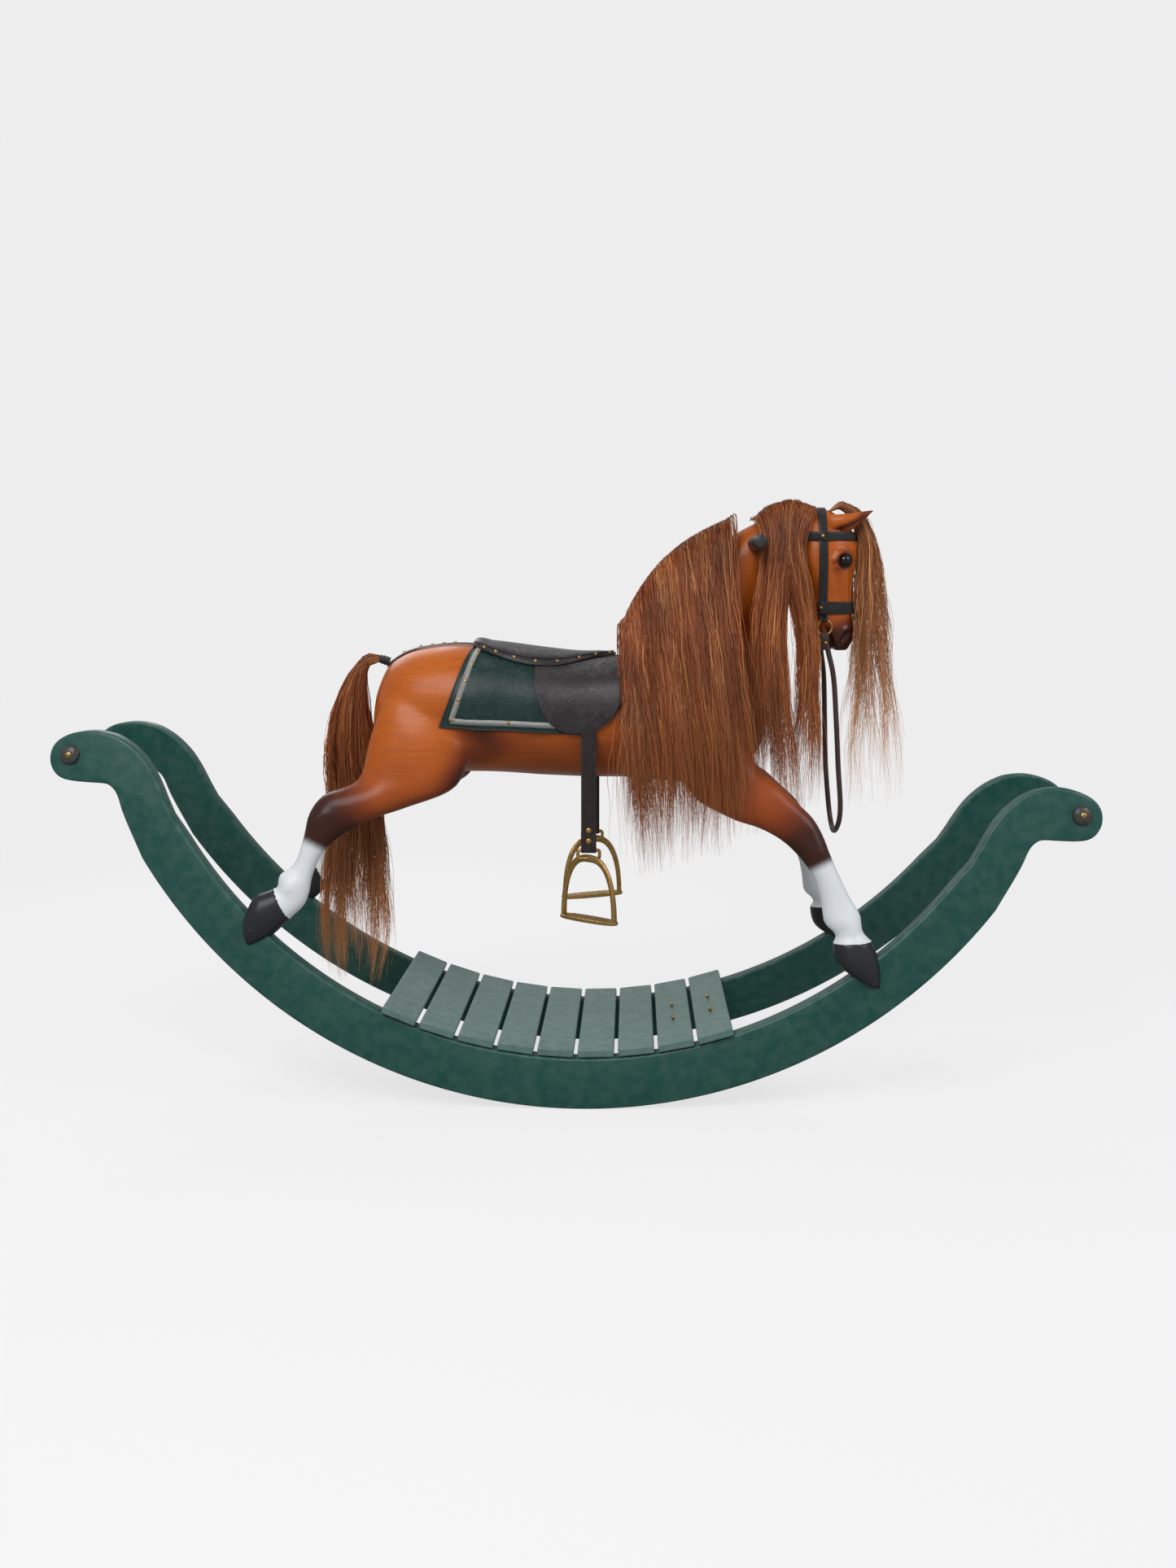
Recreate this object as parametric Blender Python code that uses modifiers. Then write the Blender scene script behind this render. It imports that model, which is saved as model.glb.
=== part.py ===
"""Bow rocking horse: a carved timber horse on two bow rockers, with saddle, bridle and stirrups.

+X points to the horse's head, +Z is up, -Y is the horse's right side. Metres. The origin lies on the
floor under the middle of the rockers. The horse is parked a little nose-down, as it comes to rest.
"""

import math

import bmesh
import bpy
from mathutils import Matrix, Vector

# Driving dimensions -----------------------------------------------------------------------------
GAP = 0.0003                    # left between glued or touching pieces
SIDES = (("right", -1), ("left", 1))

ROCKER_RADIUS = 0.890           # outer edge, which rolls on the floor
ROCKER_INNER_RADIUS = 0.806     # upper edge
ROCKER_THICKNESS = 0.030
ROCKER_LEAN = math.radians(9.2)
HALF_STANCE = 0.200             # middle of a rocker's thickness, at the floor
CONTACT_X = 0.015               # where the bows touch the floor
NOSE_DOWN = math.radians(3.25)

SLATS = 9
SLAT_PITCH = 0.0679
SLAT_WIDTH = 0.0608
SLAT_THICKNESS = 0.014
SLAT_LENGTH = 0.402

RAIL_RADIUS = 0.018
BOLT_ANGLE = math.radians(67.65)
BOLT_ARC = 0.928
BOLT_SHANK = 0.004
BOLT_CAP = 0.017

EYE_RADIUS = 0.011
HANDLE_RADIUS = 0.013
HANDLE_REACH = 0.128
HANDLE_AT = (0.307, 0.944)
HOOF_SCREW = 0.005

CLOTH_OFFSET = 0.0017
CLOTH_THICKNESS = 0.0025
FLAP_OFFSET = 0.0095
FLAP_THICKNESS = 0.003
SEAT_OFFSET = 0.0068
SEAT_THICKNESS = 0.0055

STRAP_X = 0.023                 # stirrup leather, along the horse
STRAP_Y = 0.1106
STRAP_WIDTH = 0.026
STRAP_THICKNESS = 0.0032
STRAP_TOP = 0.650
STRAP_BEND = 0.6172             # the leather bends outwards here, under the flap's edge
IRON_BAR_Z = 0.4235
IRON_BAR = 0.003
IRON_WIRE = 0.0045
IRON_HALF_WIDTH = 0.056
TREAD_Z = 0.303
TREAD_THICKNESS = 0.0065

BIT_RING = 0.0125
BIT_WIRE = 0.0018
REIN_RADIUS = 0.0045

# Carved forms, as sections across each limb: (x, z) at the back, (x, z) at the front, y of the
# middle and half the width. The body's sections run from belly to back.
BODY = (
    ((-0.356, 0.610), (-0.349, 0.692), 0.042),
    ((-0.348, 0.575), (-0.328, 0.734), 0.074),
    ((-0.312, 0.560), (-0.296, 0.757), 0.095),
    ((-0.270, 0.552), (-0.255, 0.768), 0.106),
    ((-0.210, 0.548), (-0.205, 0.772), 0.110),
    ((-0.140, 0.547), (-0.140, 0.767), 0.108),
    ((-0.060, 0.542), (-0.060, 0.757), 0.105),
    ((0.020, 0.539), (0.020, 0.751), 0.104),
    ((0.100, 0.538), (0.100, 0.756), 0.105),
    ((0.170, 0.530), (0.170, 0.766), 0.103),
    ((0.235, 0.533), (0.235, 0.764), 0.097),
    ((0.285, 0.550), (0.285, 0.745), 0.082),
    ((0.315, 0.585), (0.318, 0.715), 0.058),
    ((0.328, 0.625), (0.329, 0.680), 0.028),
)
NECK = (
    ((0.110, 0.715), (0.298, 0.674), 0.050),
    ((0.095, 0.770), (0.318, 0.715), 0.074),
    ((0.135, 0.845), (0.322, 0.775), 0.062),
    ((0.190, 0.900), (0.330, 0.835), 0.052),
    ((0.245, 0.945), (0.345, 0.885), 0.046),
    ((0.305, 0.980), (0.370, 0.925), 0.042),
    ((0.365, 1.000), (0.405, 0.950), 0.036),
)
HEAD = (
    ((0.388, 1.003), (0.436, 1.004), 0.016),
    ((0.372, 0.985), (0.460, 0.987), 0.034),
    ((0.368, 0.958), (0.4815, 0.960), 0.043),
    ((0.372, 0.930), (0.487, 0.930), 0.048),
    ((0.380, 0.905), (0.4835, 0.910), 0.046),
    ((0.392, 0.880), (0.4796, 0.885), 0.040),
    ((0.398, 0.850), (0.4790, 0.855), 0.032),
    ((0.404, 0.820), (0.4800, 0.825), 0.029),
    ((0.405, 0.795), (0.4830, 0.802), 0.029),
    ((0.408, 0.776), (0.4815, 0.781), 0.026),
    ((0.424, 0.7620), (0.472, 0.7620), 0.016),
)
EAR = (
    ((0.4330, 0.970), (0.456, 0.958), 0.026, 0.010),
    ((0.4335, 0.982), (0.464, 0.967), 0.031, 0.012),
    ((0.443, 0.988), (0.474, 0.975), 0.034, 0.012),
    ((0.470, 0.993), (0.488, 0.984), 0.036, 0.008),
    ((0.494, 0.9965), (0.500, 0.993), 0.037, 0.003),
)
HIND_LEG = (
    ((-0.335, 0.690), (-0.225, 0.660), 0.074, 0.022),
    ((-0.353, 0.620), (-0.190, 0.590), 0.085, 0.034),
    ((-0.369, 0.552), (-0.212, 0.530), 0.095, 0.036),
    ((-0.398, 0.531), (-0.290, 0.4945), 0.108, 0.031),
    ((-0.430, 0.519), (-0.350, 0.475), 0.119, 0.027),
    ((-0.4525, 0.490), (-0.4062, 0.4437), 0.129, 0.022),
    ((-0.4620, 0.447), (-0.4334, 0.414), 0.136, 0.0185),
    ((-0.4771, 0.4035), (-0.4467, 0.3815), 0.143, 0.0175),
    ((-0.5010, 0.385), (-0.4520, 0.3525), 0.149, 0.0205),
    ((-0.5050, 0.364), (-0.4620, 0.3304), 0.152, 0.020),
    ((-0.5200, 0.357), (-0.4890, 0.306), 0.157, 0.0235),
    ((-0.5423, 0.347), (-0.5191, 0.280), 0.162, 0.026),
    ((-0.5590, 0.310), (-0.5530, 0.264), 0.164, 0.022),
)
FORE_LEG = (
    ((0.180, 0.650), (0.300, 0.660), 0.072, 0.024),
    ((0.170, 0.585), (0.306, 0.600), 0.082, 0.034),
    ((0.200, 0.515), (0.312, 0.562), 0.092, 0.034),
    ((0.2665, 0.4775), (0.345, 0.538), 0.105, 0.029),
    ((0.3105, 0.4639), (0.3745, 0.510), 0.114, 0.025),
    ((0.3464, 0.446), (0.402, 0.484), 0.121, 0.0225),
    ((0.3714, 0.4252), (0.4185, 0.456), 0.127, 0.0195),
    ((0.3924, 0.4002), (0.430, 0.426), 0.132, 0.0185),
    ((0.4080, 0.3737), (0.4455, 0.390), 0.137, 0.0175),
    ((0.4169, 0.3373), (0.4650, 0.350), 0.143, 0.0175),
    ((0.4215, 0.308), (0.4815, 0.322), 0.148, 0.0195),
    ((0.4400, 0.288), (0.4860, 0.294), 0.152, 0.020),
    ((0.4367, 0.270), (0.5000, 0.277), 0.157, 0.0245),
    ((0.4470, 0.238), (0.5120, 0.240), 0.163, 0.027),
    ((0.4800, 0.216), (0.5150, 0.200), 0.166, 0.022),
)
TAIL = (
    ((-0.352, 0.740), (-0.353, 0.753), 0.006),
    ((-0.370, 0.733), (-0.376, 0.751), 0.012),
    ((-0.382, 0.710), (-0.402, 0.722), 0.017),
    ((-0.381, 0.665), (-0.420, 0.675), 0.021),
    ((-0.378, 0.600), (-0.438, 0.605), 0.025),
    ((-0.366, 0.470), (-0.438, 0.470), 0.027),
    ((-0.352, 0.350), (-0.450, 0.350), 0.028),
    ((-0.346, 0.245), (-0.460, 0.245), 0.026),
    ((-0.375, 0.165), (-0.440, 0.165), 0.014),
)
FORELOCK = (
    ((0.4440, 1.0080), (0.4440, 1.0160), 0.0, 0.010),
    ((0.4700, 1.0020), (0.4750, 1.0130), 0.0, 0.011),
    ((0.4960, 0.9720), (0.5080, 0.9800), 0.0, 0.016),
    ((0.5000, 0.9250), (0.5200, 0.9270), 0.0, 0.022),
    ((0.4950, 0.8500), (0.5300, 0.8520), 0.0, 0.028),
    ((0.4850, 0.7300), (0.5460, 0.7300), 0.0, 0.032),
    ((0.4780, 0.6000), (0.5640, 0.6000), 0.0, 0.030),
    ((0.4760, 0.4980), (0.5720, 0.4980), 0.0, 0.018),
)
MANE_REAR = (
    ((0.088, 0.820), (0.262, 0.994), -0.004, 0.010),
    ((0.084, 0.795), (0.280, 0.972), -0.058, 0.009),
    ((0.084, 0.755), (0.284, 0.925), -0.081, 0.009),
    ((0.086, 0.690), (0.290, 0.830), -0.105, 0.010),
    ((0.090, 0.610), (0.294, 0.700), -0.133, 0.011),
    ((0.102, 0.515), (0.285, 0.560), -0.141, 0.011),
    ((0.130, 0.440), (0.225, 0.450), -0.141, 0.007),
)
MANE_FRONT = (
    ((0.330, 1.0120), (0.378, 1.0170), -0.004, 0.008),
    ((0.326, 0.9900), (0.378, 1.0000), -0.054, 0.006),
    ((0.322, 0.9300), (0.366, 0.9500), -0.060, 0.008),
    ((0.328, 0.8400), (0.378, 0.8400), -0.070, 0.010),
    ((0.334, 0.6800), (0.398, 0.6800), -0.076, 0.011),
    ((0.345, 0.5050), (0.402, 0.5050), -0.078, 0.008),
)

# Half of a rocker's end, from the rolling edge round the scroll to the upper edge, measured from
# the middle of the bow's circle.
SCROLL = (
    (0.750, -0.469), (0.763, -0.443), (0.774, -0.416), (0.784, -0.404), (0.796, -0.3985),
    (0.825, -0.398), (0.853, -0.397), (0.872, -0.393), (0.885, -0.383), (0.893, -0.366),
    (0.892, -0.346), (0.881, -0.329), (0.857, -0.316), (0.822, -0.310), (0.790, -0.314),
    (0.770, -0.322), (0.746, -0.338), (0.722, -0.363), (0.704, -0.392), (0.690, -0.420),
    (0.677, -0.444),
)

GREEN = ("rocker_green", (0.030, 0.105, 0.088), 0.45, 0.0)
SLAT_GREEN = ("slat_green", (0.12, 0.20, 0.18), 0.5, 0.0)
CHESTNUT = ("chestnut_paint", (0.36, 0.10, 0.025), 0.35, 0.0)
BLACK_PAINT = ("handle_black", (0.02, 0.018, 0.018), 0.4, 0.0)
GLASS_EYE = ("glass_eye", (0.01, 0.006, 0.004), 0.05, 0.0)
CAP_BLACK = ("bolt_black", (0.02, 0.018, 0.016), 0.35, 0.8)
BRASS = ("brass", (0.55, 0.38, 0.14), 0.3, 1.0)
CLOTH_GREEN = ("green_leather", (0.012, 0.065, 0.055), 0.5, 0.0)
SADDLE_BLACK = ("saddle_leather", (0.035, 0.030, 0.032), 0.5, 0.0)
STRAP_BROWN = ("strap_leather", (0.045, 0.030, 0.028), 0.5, 0.0)
BRIDLE_BLACK = ("bridle_leather", (0.015, 0.013, 0.013), 0.45, 0.0)
REIN_BROWN = ("rein_leather", (0.04, 0.018, 0.020), 0.5, 0.0)
HAIR = ("horsehair", (0.19, 0.055, 0.02), 0.6, 0.0)


# Scene and small helpers ------------------------------------------------------------------------
def clear_scene():
    for obj in list(bpy.data.objects):
        bpy.data.objects.remove(obj, do_unlink=True)


def collection(name):
    group = bpy.data.collections.new(name)
    bpy.context.scene.collection.children.link(group)
    return group


def material(spec):
    name, colour, roughness, metallic = spec
    found = bpy.data.materials.get(name)
    if found:
        return found
    made = bpy.data.materials.new(name)
    made.use_nodes = True
    made.diffuse_color = (*colour, 1.0)
    shader = made.node_tree.nodes["Principled BSDF"]
    shader.inputs["Base Color"].default_value = (*colour, 1.0)
    shader.inputs["Roughness"].default_value = roughness
    shader.inputs["Metallic"].default_value = metallic
    return made


def add_object(name, bm, finish, group=None, parent=None, smooth=True):
    mesh = bpy.data.meshes.new(name)
    bmesh.ops.recalc_face_normals(bm, faces=bm.faces)
    if bm.calc_volume(signed=True) < 0:
        bmesh.ops.reverse_faces(bm, faces=bm.faces)
    bm.to_mesh(mesh)
    bm.free()
    if finish:
        mesh.materials.append(material(finish))
    if smooth:
        mesh.shade_smooth()
        mesh.set_sharp_from_angle(angle=math.radians(35))
    obj = bpy.data.objects.new(name, mesh)
    (group or PARTS).objects.link(obj)
    obj.parent = parent
    return obj


def as_cutter(obj):
    obj.hide_render = True
    obj.display_type = "WIRE"
    return obj


def boolean(obj, cutter, operation="DIFFERENCE"):
    modifier = obj.modifiers.new(operation.title(), "BOOLEAN")
    modifier.operation = operation
    modifier.solver = "EXACT"
    modifier.object = cutter


def bevel(obj, width, segments=1):
    modifier = obj.modifiers.new("Bevel", "BEVEL")
    modifier.width = width
    modifier.segments = segments
    modifier.limit_method = "ANGLE"
    modifier.angle_limit = math.radians(50)


def ring(bm, back, front, y, half_width, count, squareness=2.0):
    """A closed section through an upright limb, as a rounded oval."""
    centre = Vector(((back[0] + front[0]) / 2, y, (back[1] + front[1]) / 2))
    along = Vector(((front[0] - back[0]) / 2, 0.0, (front[1] - back[1]) / 2))
    verts = []
    for i in range(count):
        angle = 2 * math.pi * i / count
        c, s = math.cos(angle), math.sin(angle)
        c = math.copysign(abs(c) ** (2 / squareness), c)
        s = math.copysign(abs(s) ** (2 / squareness), s)
        verts.append(bm.verts.new(centre + along * c + Vector((0.0, half_width * s, 0.0))))
    return verts


def bridge(bm, rings):
    """Skins a row of rings with as many points each, and closes both ends."""
    for lower, upper in zip(rings, rings[1:]):
        count = len(lower)
        for i in range(count):
            j = (i + 1) % count
            bm.faces.new((lower[i], lower[j], upper[j], upper[i]))
    bm.faces.new(rings[0])
    bm.faces.new(rings[-1])


def smooth_sections(sections, steps):
    """Adds sections between the given ones, on a smooth curve through them."""
    flat = [[*s[0], *s[1], *s[2:]] for s in sections]
    result = []
    for i in range(len(flat) - 1):
        p0 = flat[max(i - 1, 0)]
        p1, p2 = flat[i], flat[i + 1]
        p3 = flat[min(i + 2, len(flat) - 1)]
        for k in range(steps):
            t = k / steps
            row = []
            for a, b, c, d in zip(p0, p1, p2, p3):
                row.append(0.5 * (2 * b + (c - a) * t + (2 * a - 5 * b + 4 * c - d) * t * t
                                  + (3 * b - a - 3 * c + d) * t ** 3))
            result.append(row)
    result.append(flat[-1])
    return [((r[0], r[1]), (r[2], r[3]), *r[4:]) for r in result]


def limb(name, sections, finish, count=16, steps=1, side=1, squareness=2.0, group=None):
    """A carved form skinned over oval sections; side mirrors it across the middle plane."""
    bm = bmesh.new()
    rings = []
    for section in smooth_sections(sections, steps):
        back, front = section[0], section[1]
        y, half_width = section[2:] if len(section) == 4 else (0.0, section[2])
        rings.append(ring(bm, back, front, y * side, half_width, count, squareness))
    bridge(bm, rings)
    bmesh.ops.triangulate(bm, faces=bm.faces)
    return add_object(name, bm, finish, group)


def grown_copy(obj, name, amount=GAP):
    """A cutter with the same shape as a piece, a hair larger, for the piece that it is let into."""
    mesh = obj.data.copy()
    normals = [v.normal.copy() for v in mesh.vertices]
    for vertex, normal in zip(mesh.vertices, normals):
        vertex.co += normal * amount * 1.3
    cutter = bpy.data.objects.new(name, mesh)
    CUTTERS.objects.link(cutter)
    return as_cutter(cutter)


def cylinder(name, radius, length, centre, direction, finish, count=16, group=None, parent=None):
    bm = bmesh.new()
    turn = Vector((0, 0, 1)).rotation_difference(Vector(direction)).to_matrix().to_4x4()
    bmesh.ops.create_cone(bm, cap_ends=True, segments=count, radius1=radius, radius2=radius,
                          depth=length, matrix=Matrix.Translation(Vector(centre)) @ turn)
    return add_object(name, bm, finish, group, parent)


def turned(name, profile, centre, direction, finish, count=16, parent=None):
    """A turned piece: (radius, height) points spun round an axis that points along direction."""
    bm = bmesh.new()
    rings = []
    for radius, height in profile:
        points = []
        for i in range(count):
            angle = 2 * math.pi * i / count
            points.append(bm.verts.new((radius * math.cos(angle), radius * math.sin(angle), height)))
        rings.append(points)
    bridge(bm, rings)
    turn = Vector((0, 0, 1)).rotation_difference(Vector(direction)).to_matrix().to_4x4()
    bm.transform(Matrix.Translation(Vector(centre)) @ turn)
    return add_object(name, bm, finish, parent=parent)


# Rockers, platform and end rails, in the bows' own frame -------------------------------------------
def bow_empty():
    """The bows' frame: its origin is the middle of their circle, and it carries the nose-down rest."""
    empty = bpy.data.objects.new("bow_frame", None)
    PARTS.objects.link(empty)
    empty.location = (CONTACT_X, 0.0, ROCKER_RADIUS)
    empty.rotation_euler = (0.0, NOSE_DOWN, 0.0)
    return empty


def arc(radius, start, end, steps):
    points = []
    for i in range(steps + 1):
        angle = math.radians(start + (end - start) * i / steps)
        points.append((radius * math.sin(angle), -radius * math.cos(angle)))
    return points


def rocker_outline():
    far_end = [(-x, z) for x, z in reversed(SCROLL)]
    lower = arc(ROCKER_RADIUS, -55, 55, 44)
    upper = arc(ROCKER_INNER_RADIUS, 54, -54, 36)
    return lower + list(SCROLL) + upper + far_end


def leaning_board(name, outline, side, inner, outer, finish, group=None):
    """A flat outline given thickness; its faces lean inwards while its edges stay level across."""
    bm = bmesh.new()
    face = bm.faces.new([bm.verts.new((x, -inner, z)) for x, z in outline])
    grown = bmesh.ops.extrude_face_region(bm, geom=[face])
    for element in grown["geom"]:
        if isinstance(element, bmesh.types.BMVert):
            element.co.y = outer
    for vertex in bm.verts:
        vertex.co.y += HALF_STANCE - (vertex.co.z + ROCKER_RADIUS) * math.tan(ROCKER_LEAN)
        vertex.co.y *= side
    return add_object(name, bm, finish, group, BOW)


def rocker_face_y(z, outward=1):
    """Distance from the middle plane to a rocker's face, at a height in the bows' frame."""
    middle = HALF_STANCE - (z + ROCKER_RADIUS) * math.tan(ROCKER_LEAN)
    return middle + outward * ROCKER_THICKNESS / 2


def make_rocker(label, side):
    half = ROCKER_THICKNESS / 2
    rocker = leaning_board("rocker_" + label, rocker_outline(), side, half, half, GREEN)
    rebate = arc(ROCKER_INNER_RADIUS - GAP, -50, 50, 40) + arc(ROCKER_RADIUS + 0.05, 50, -50, 12)
    cutter = leaning_board("rebate_" + label, rebate, side, half + 0.05, half + GAP, None, CUTTERS)
    as_cutter(cutter)
    bevel(rocker, 0.004)
    return rocker, cutter


def make_slat(index):
    angle = (index - (SLATS - 1) / 2) * SLAT_PITCH / (ROCKER_INNER_RADIUS - SLAT_THICKNESS / 2)
    radius = ROCKER_INNER_RADIUS - 0.0012 - SLAT_THICKNESS / 2
    bm = bmesh.new()
    size = Matrix.Diagonal((SLAT_WIDTH, SLAT_LENGTH, SLAT_THICKNESS, 1.0))
    bmesh.ops.create_cube(bm, size=1.0, matrix=size)
    slat = add_object(f"slat_{index + 1}", bm, SLAT_GREEN, parent=BOW)
    slat.location = (radius * math.sin(angle), 0.0, -radius * math.cos(angle))
    slat.rotation_euler = (0.0, -angle, 0.0)
    bevel(slat, 0.0015)
    return slat


def make_end_rail(label, end):
    """A round rail between the rockers' ends, cut to their lean."""
    x = end * BOLT_ARC * math.sin(BOLT_ANGLE)
    z = -BOLT_ARC * math.cos(BOLT_ANGLE)
    rail = cylinder("end_rail_" + label, RAIL_RADIUS, 0.1, (x, 0, z), (0, 1, 0), GREEN, parent=BOW)
    for vertex in rail.data.vertices:
        vertex.co.y = math.copysign(rocker_face_y(vertex.co.z, -1) - GAP, vertex.co.y)
    return rail


def make_end_bolt(label, side, end, rocker, rail):
    x = end * BOLT_ARC * math.sin(BOLT_ANGLE)
    z = -BOLT_ARC * math.cos(BOLT_ANGLE)
    outward = Vector((0.0, side * math.cos(ROCKER_LEAN), math.sin(ROCKER_LEAN)))
    seat = Vector((x, side * rocker_face_y(z), z)) + outward * GAP
    profile = ((BOLT_SHANK, -0.055), (BOLT_SHANK, 0.0), (BOLT_CAP, 0.0), (BOLT_CAP, 0.0025),
               (0.0145, 0.0062), (0.0095, 0.0088), (0.004, 0.0098))
    turned("end_bolt_" + label, profile, seat, outward, CAP_BLACK, parent=BOW)
    bore = cylinder("bore_" + label, BOLT_SHANK + GAP, 0.072, seat - outward * 0.0213, outward,
                    None, 16, CUTTERS, BOW)
    as_cutter(bore)
    boolean(rocker, bore)
    boolean(rail, bore)


# The carved horse ---------------------------------------------------------------------------------
def make_legs(rebates):
    legs = {}
    for label, side in SIDES:
        for place, sections in (("front", FORE_LEG), ("rear", HIND_LEG)):
            name = f"leg_{place}_{label}"
            leg = limb(name, sections, CHESTNUT, 16, 1, side)
            boolean(leg, rebates[label])
            legs[name] = leg
    return legs


def make_hoof_screw(name, leg, rocker, side, x, z, y):
    """A headless plug screw through the hoof's lap into the rocker."""
    length = 0.036
    centre = (x, side * (y - length / 2), z)
    cylinder(name, HOOF_SCREW, length, centre, (0, 1, 0), CAP_BLACK, 12)
    bore = cylinder("bore_" + name, HOOF_SCREW + GAP, length + 0.010, centre, (0, 1, 0), None, 12,
                    CUTTERS)
    as_cutter(bore)
    boolean(leg, bore)
    boolean(rocker, bore)


def make_slab(name, bottom, top):
    bm = bmesh.new()
    size = Matrix.Diagonal((1.2, 0.5, top - bottom, 1.0))
    place = Matrix.Translation((0.0, 0.0, (top + bottom) / 2))
    bmesh.ops.create_cube(bm, size=1.0, matrix=place @ size)
    return as_cutter(add_object(name, bm, None, CUTTERS))


def make_body(legs, neck):
    """Three boards glued up into the barrel, with the legs and neck let in."""
    grown_legs = [grown_copy(leg, "socket_" + name) for name, leg in legs.items()]
    grown_neck = grown_copy(neck, "socket_neck")
    layers = (("body_lower_block", 0.50, 0.588 - GAP / 2, grown_legs),
              ("body_middle_block", 0.588 + GAP / 2, 0.700 - GAP / 2, grown_legs + [grown_neck]),
              ("body_upper_block", 0.700 + GAP / 2, 0.80, [grown_neck]))
    for name, bottom, top, sockets in layers:
        block = limb(name, BODY, CHESTNUT, 24, 1, squareness=2.15)
        boolean(block, make_slab("slab_" + name, bottom, top), "INTERSECT")
        for socket in sockets:
            boolean(block, socket)


def make_head(neck):
    head = limb("head", HEAD, CHESTNUT, 18, 1)
    for label, side in SIDES:
        ear = limb("ear_form_" + label, EAR, CHESTNUT, 10, 1, side, group=CUTTERS)
        boolean(head, as_cutter(ear), "UNION")
    boolean(neck, grown_copy(head, "socket_head"))
    for label, side in SIDES:
        eye = make_eye("eye_" + label, side)
        boolean(head, grown_copy(eye, "socket_eye_" + label))
    return head


def make_eye(name, side):
    bm = bmesh.new()
    place = Matrix.Translation((0.459, side * 0.0395, 0.9157))
    bmesh.ops.create_uvsphere(bm, u_segments=12, v_segments=8, radius=EYE_RADIUS, matrix=place)
    return add_object(name, bm, GLASS_EYE)


def make_handle(neck):
    x, z = HANDLE_AT
    profile = []
    for reach, radius in ((-1, 1), (1, 1)):
        edge = HANDLE_REACH - 0.004
        steps = ((HANDLE_REACH, 0.7), (edge, radius)) if reach < 0 else ((edge, radius),
                                                                        (HANDLE_REACH, 0.7))
        profile += [(share * HANDLE_RADIUS, reach * distance) for distance, share in steps]
    turned("handle", profile, (x, 0, z), (0, 1, 0), BLACK_PAINT, 16)
    bore = cylinder("bore_handle", HANDLE_RADIUS + GAP, 0.3, (x, 0, z), (0, 1, 0), None, 16, CUTTERS)
    boolean(neck, as_cutter(bore))


# Saddlery -----------------------------------------------------------------------------------------
def body_section(x):
    """Middle height, half height and half width of the barrel at x."""
    rows = [((b[0] + t[0]) / 2, (b[1] + t[1]) / 2, (t[1] - b[1]) / 2, w) for b, t, w in BODY]
    for low, high in zip(rows, rows[1:]):
        if low[0] <= x <= high[0]:
            share = (x - low[0]) / (high[0] - low[0])
            return [a + (b - a) * share for a, b in zip(low[1:], high[1:])]
    return list(rows[-1][1:] if x > rows[-1][0] else rows[0][1:])


def barrel_point(x, drop, side, offset):
    """A point that far below the back, on leather lying over the barrel and hanging off its side."""
    middle, half_height, half_width = body_section(x)
    z = middle + half_height + offset - drop
    height = max(0.0, min(1.0, (z - middle) / (half_height + offset)))
    y = (half_width + offset) * (1 - height ** 2.15) ** (1 / 2.15)
    return Vector((x, side * y, z))


def sheet_over_back(name, columns, offset, thickness, finish, rows=8):
    """Leather over the back: columns give (x at the spine, x at the hem, z of the hem)."""
    bm = bmesh.new()
    grid = []
    for top_x, hem_x, hem_z in columns:
        line = []
        for i in range(-rows, rows + 1):
            share = 1 - math.cos(abs(i) / rows * math.pi / 2)
            x = top_x + (hem_x - top_x) * share
            middle, half_height, _ = body_section(x)
            drop = (middle + half_height + offset - hem_z) * share
            side = -1 if i < 0 else 1
            line.append(bm.verts.new(barrel_point(x, drop, side, offset)))
        grid.append(line)
    for near, far in zip(grid, grid[1:]):
        for i in range(2 * rows):
            bm.faces.new((near[i], near[i + 1], far[i + 1], far[i]))
    return solidify(add_object(name, bm, finish), thickness)


def solidify(obj, thickness):
    """Thickens a sheet outwards, away from the horse."""
    mesh = obj.data
    outward = sum(p.normal.dot(Vector((0, p.center.y, p.center.z - 0.65))) for p in mesh.polygons)
    if outward < 0:
        mesh.flip_normals()
    modifier = obj.modifiers.new("Solidify", "SOLIDIFY")
    modifier.thickness = thickness
    modifier.offset = 1.0
    return obj


def make_flap(label, side):
    """The saddle's side flap, hanging from the seat's lower edge: (x, top z, bottom z) columns."""
    columns = ((-0.071, 0.7328, 0.7100), (-0.063, 0.7325, 0.6720), (-0.043, 0.7325, 0.6410),
               (-0.020, 0.7335, 0.6275), (0.006, 0.7390, 0.6245), (0.038, 0.7450, 0.6315),
               (0.062, 0.7475, 0.6480), (0.078, 0.7480, 0.6740))
    bm = bmesh.new()
    rows = 7
    grid = []
    for x, top, bottom in columns:
        middle, half_height, _ = body_section(x)
        crown = middle + half_height + FLAP_OFFSET
        line = []
        for i in range(rows + 1):
            z = top - 0.0006 + (bottom - top) * i / rows
            line.append(bm.verts.new(barrel_point(x, crown - z, side, FLAP_OFFSET)))
        grid.append(line)
    for near, far in zip(grid, grid[1:]):
        for i in range(rows):
            bm.faces.new((near[i], near[i + 1], far[i + 1], far[i]))
    solidify(add_object("saddle_flap_" + label, bm, SADDLE_BLACK), FLAP_THICKNESS)


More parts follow.
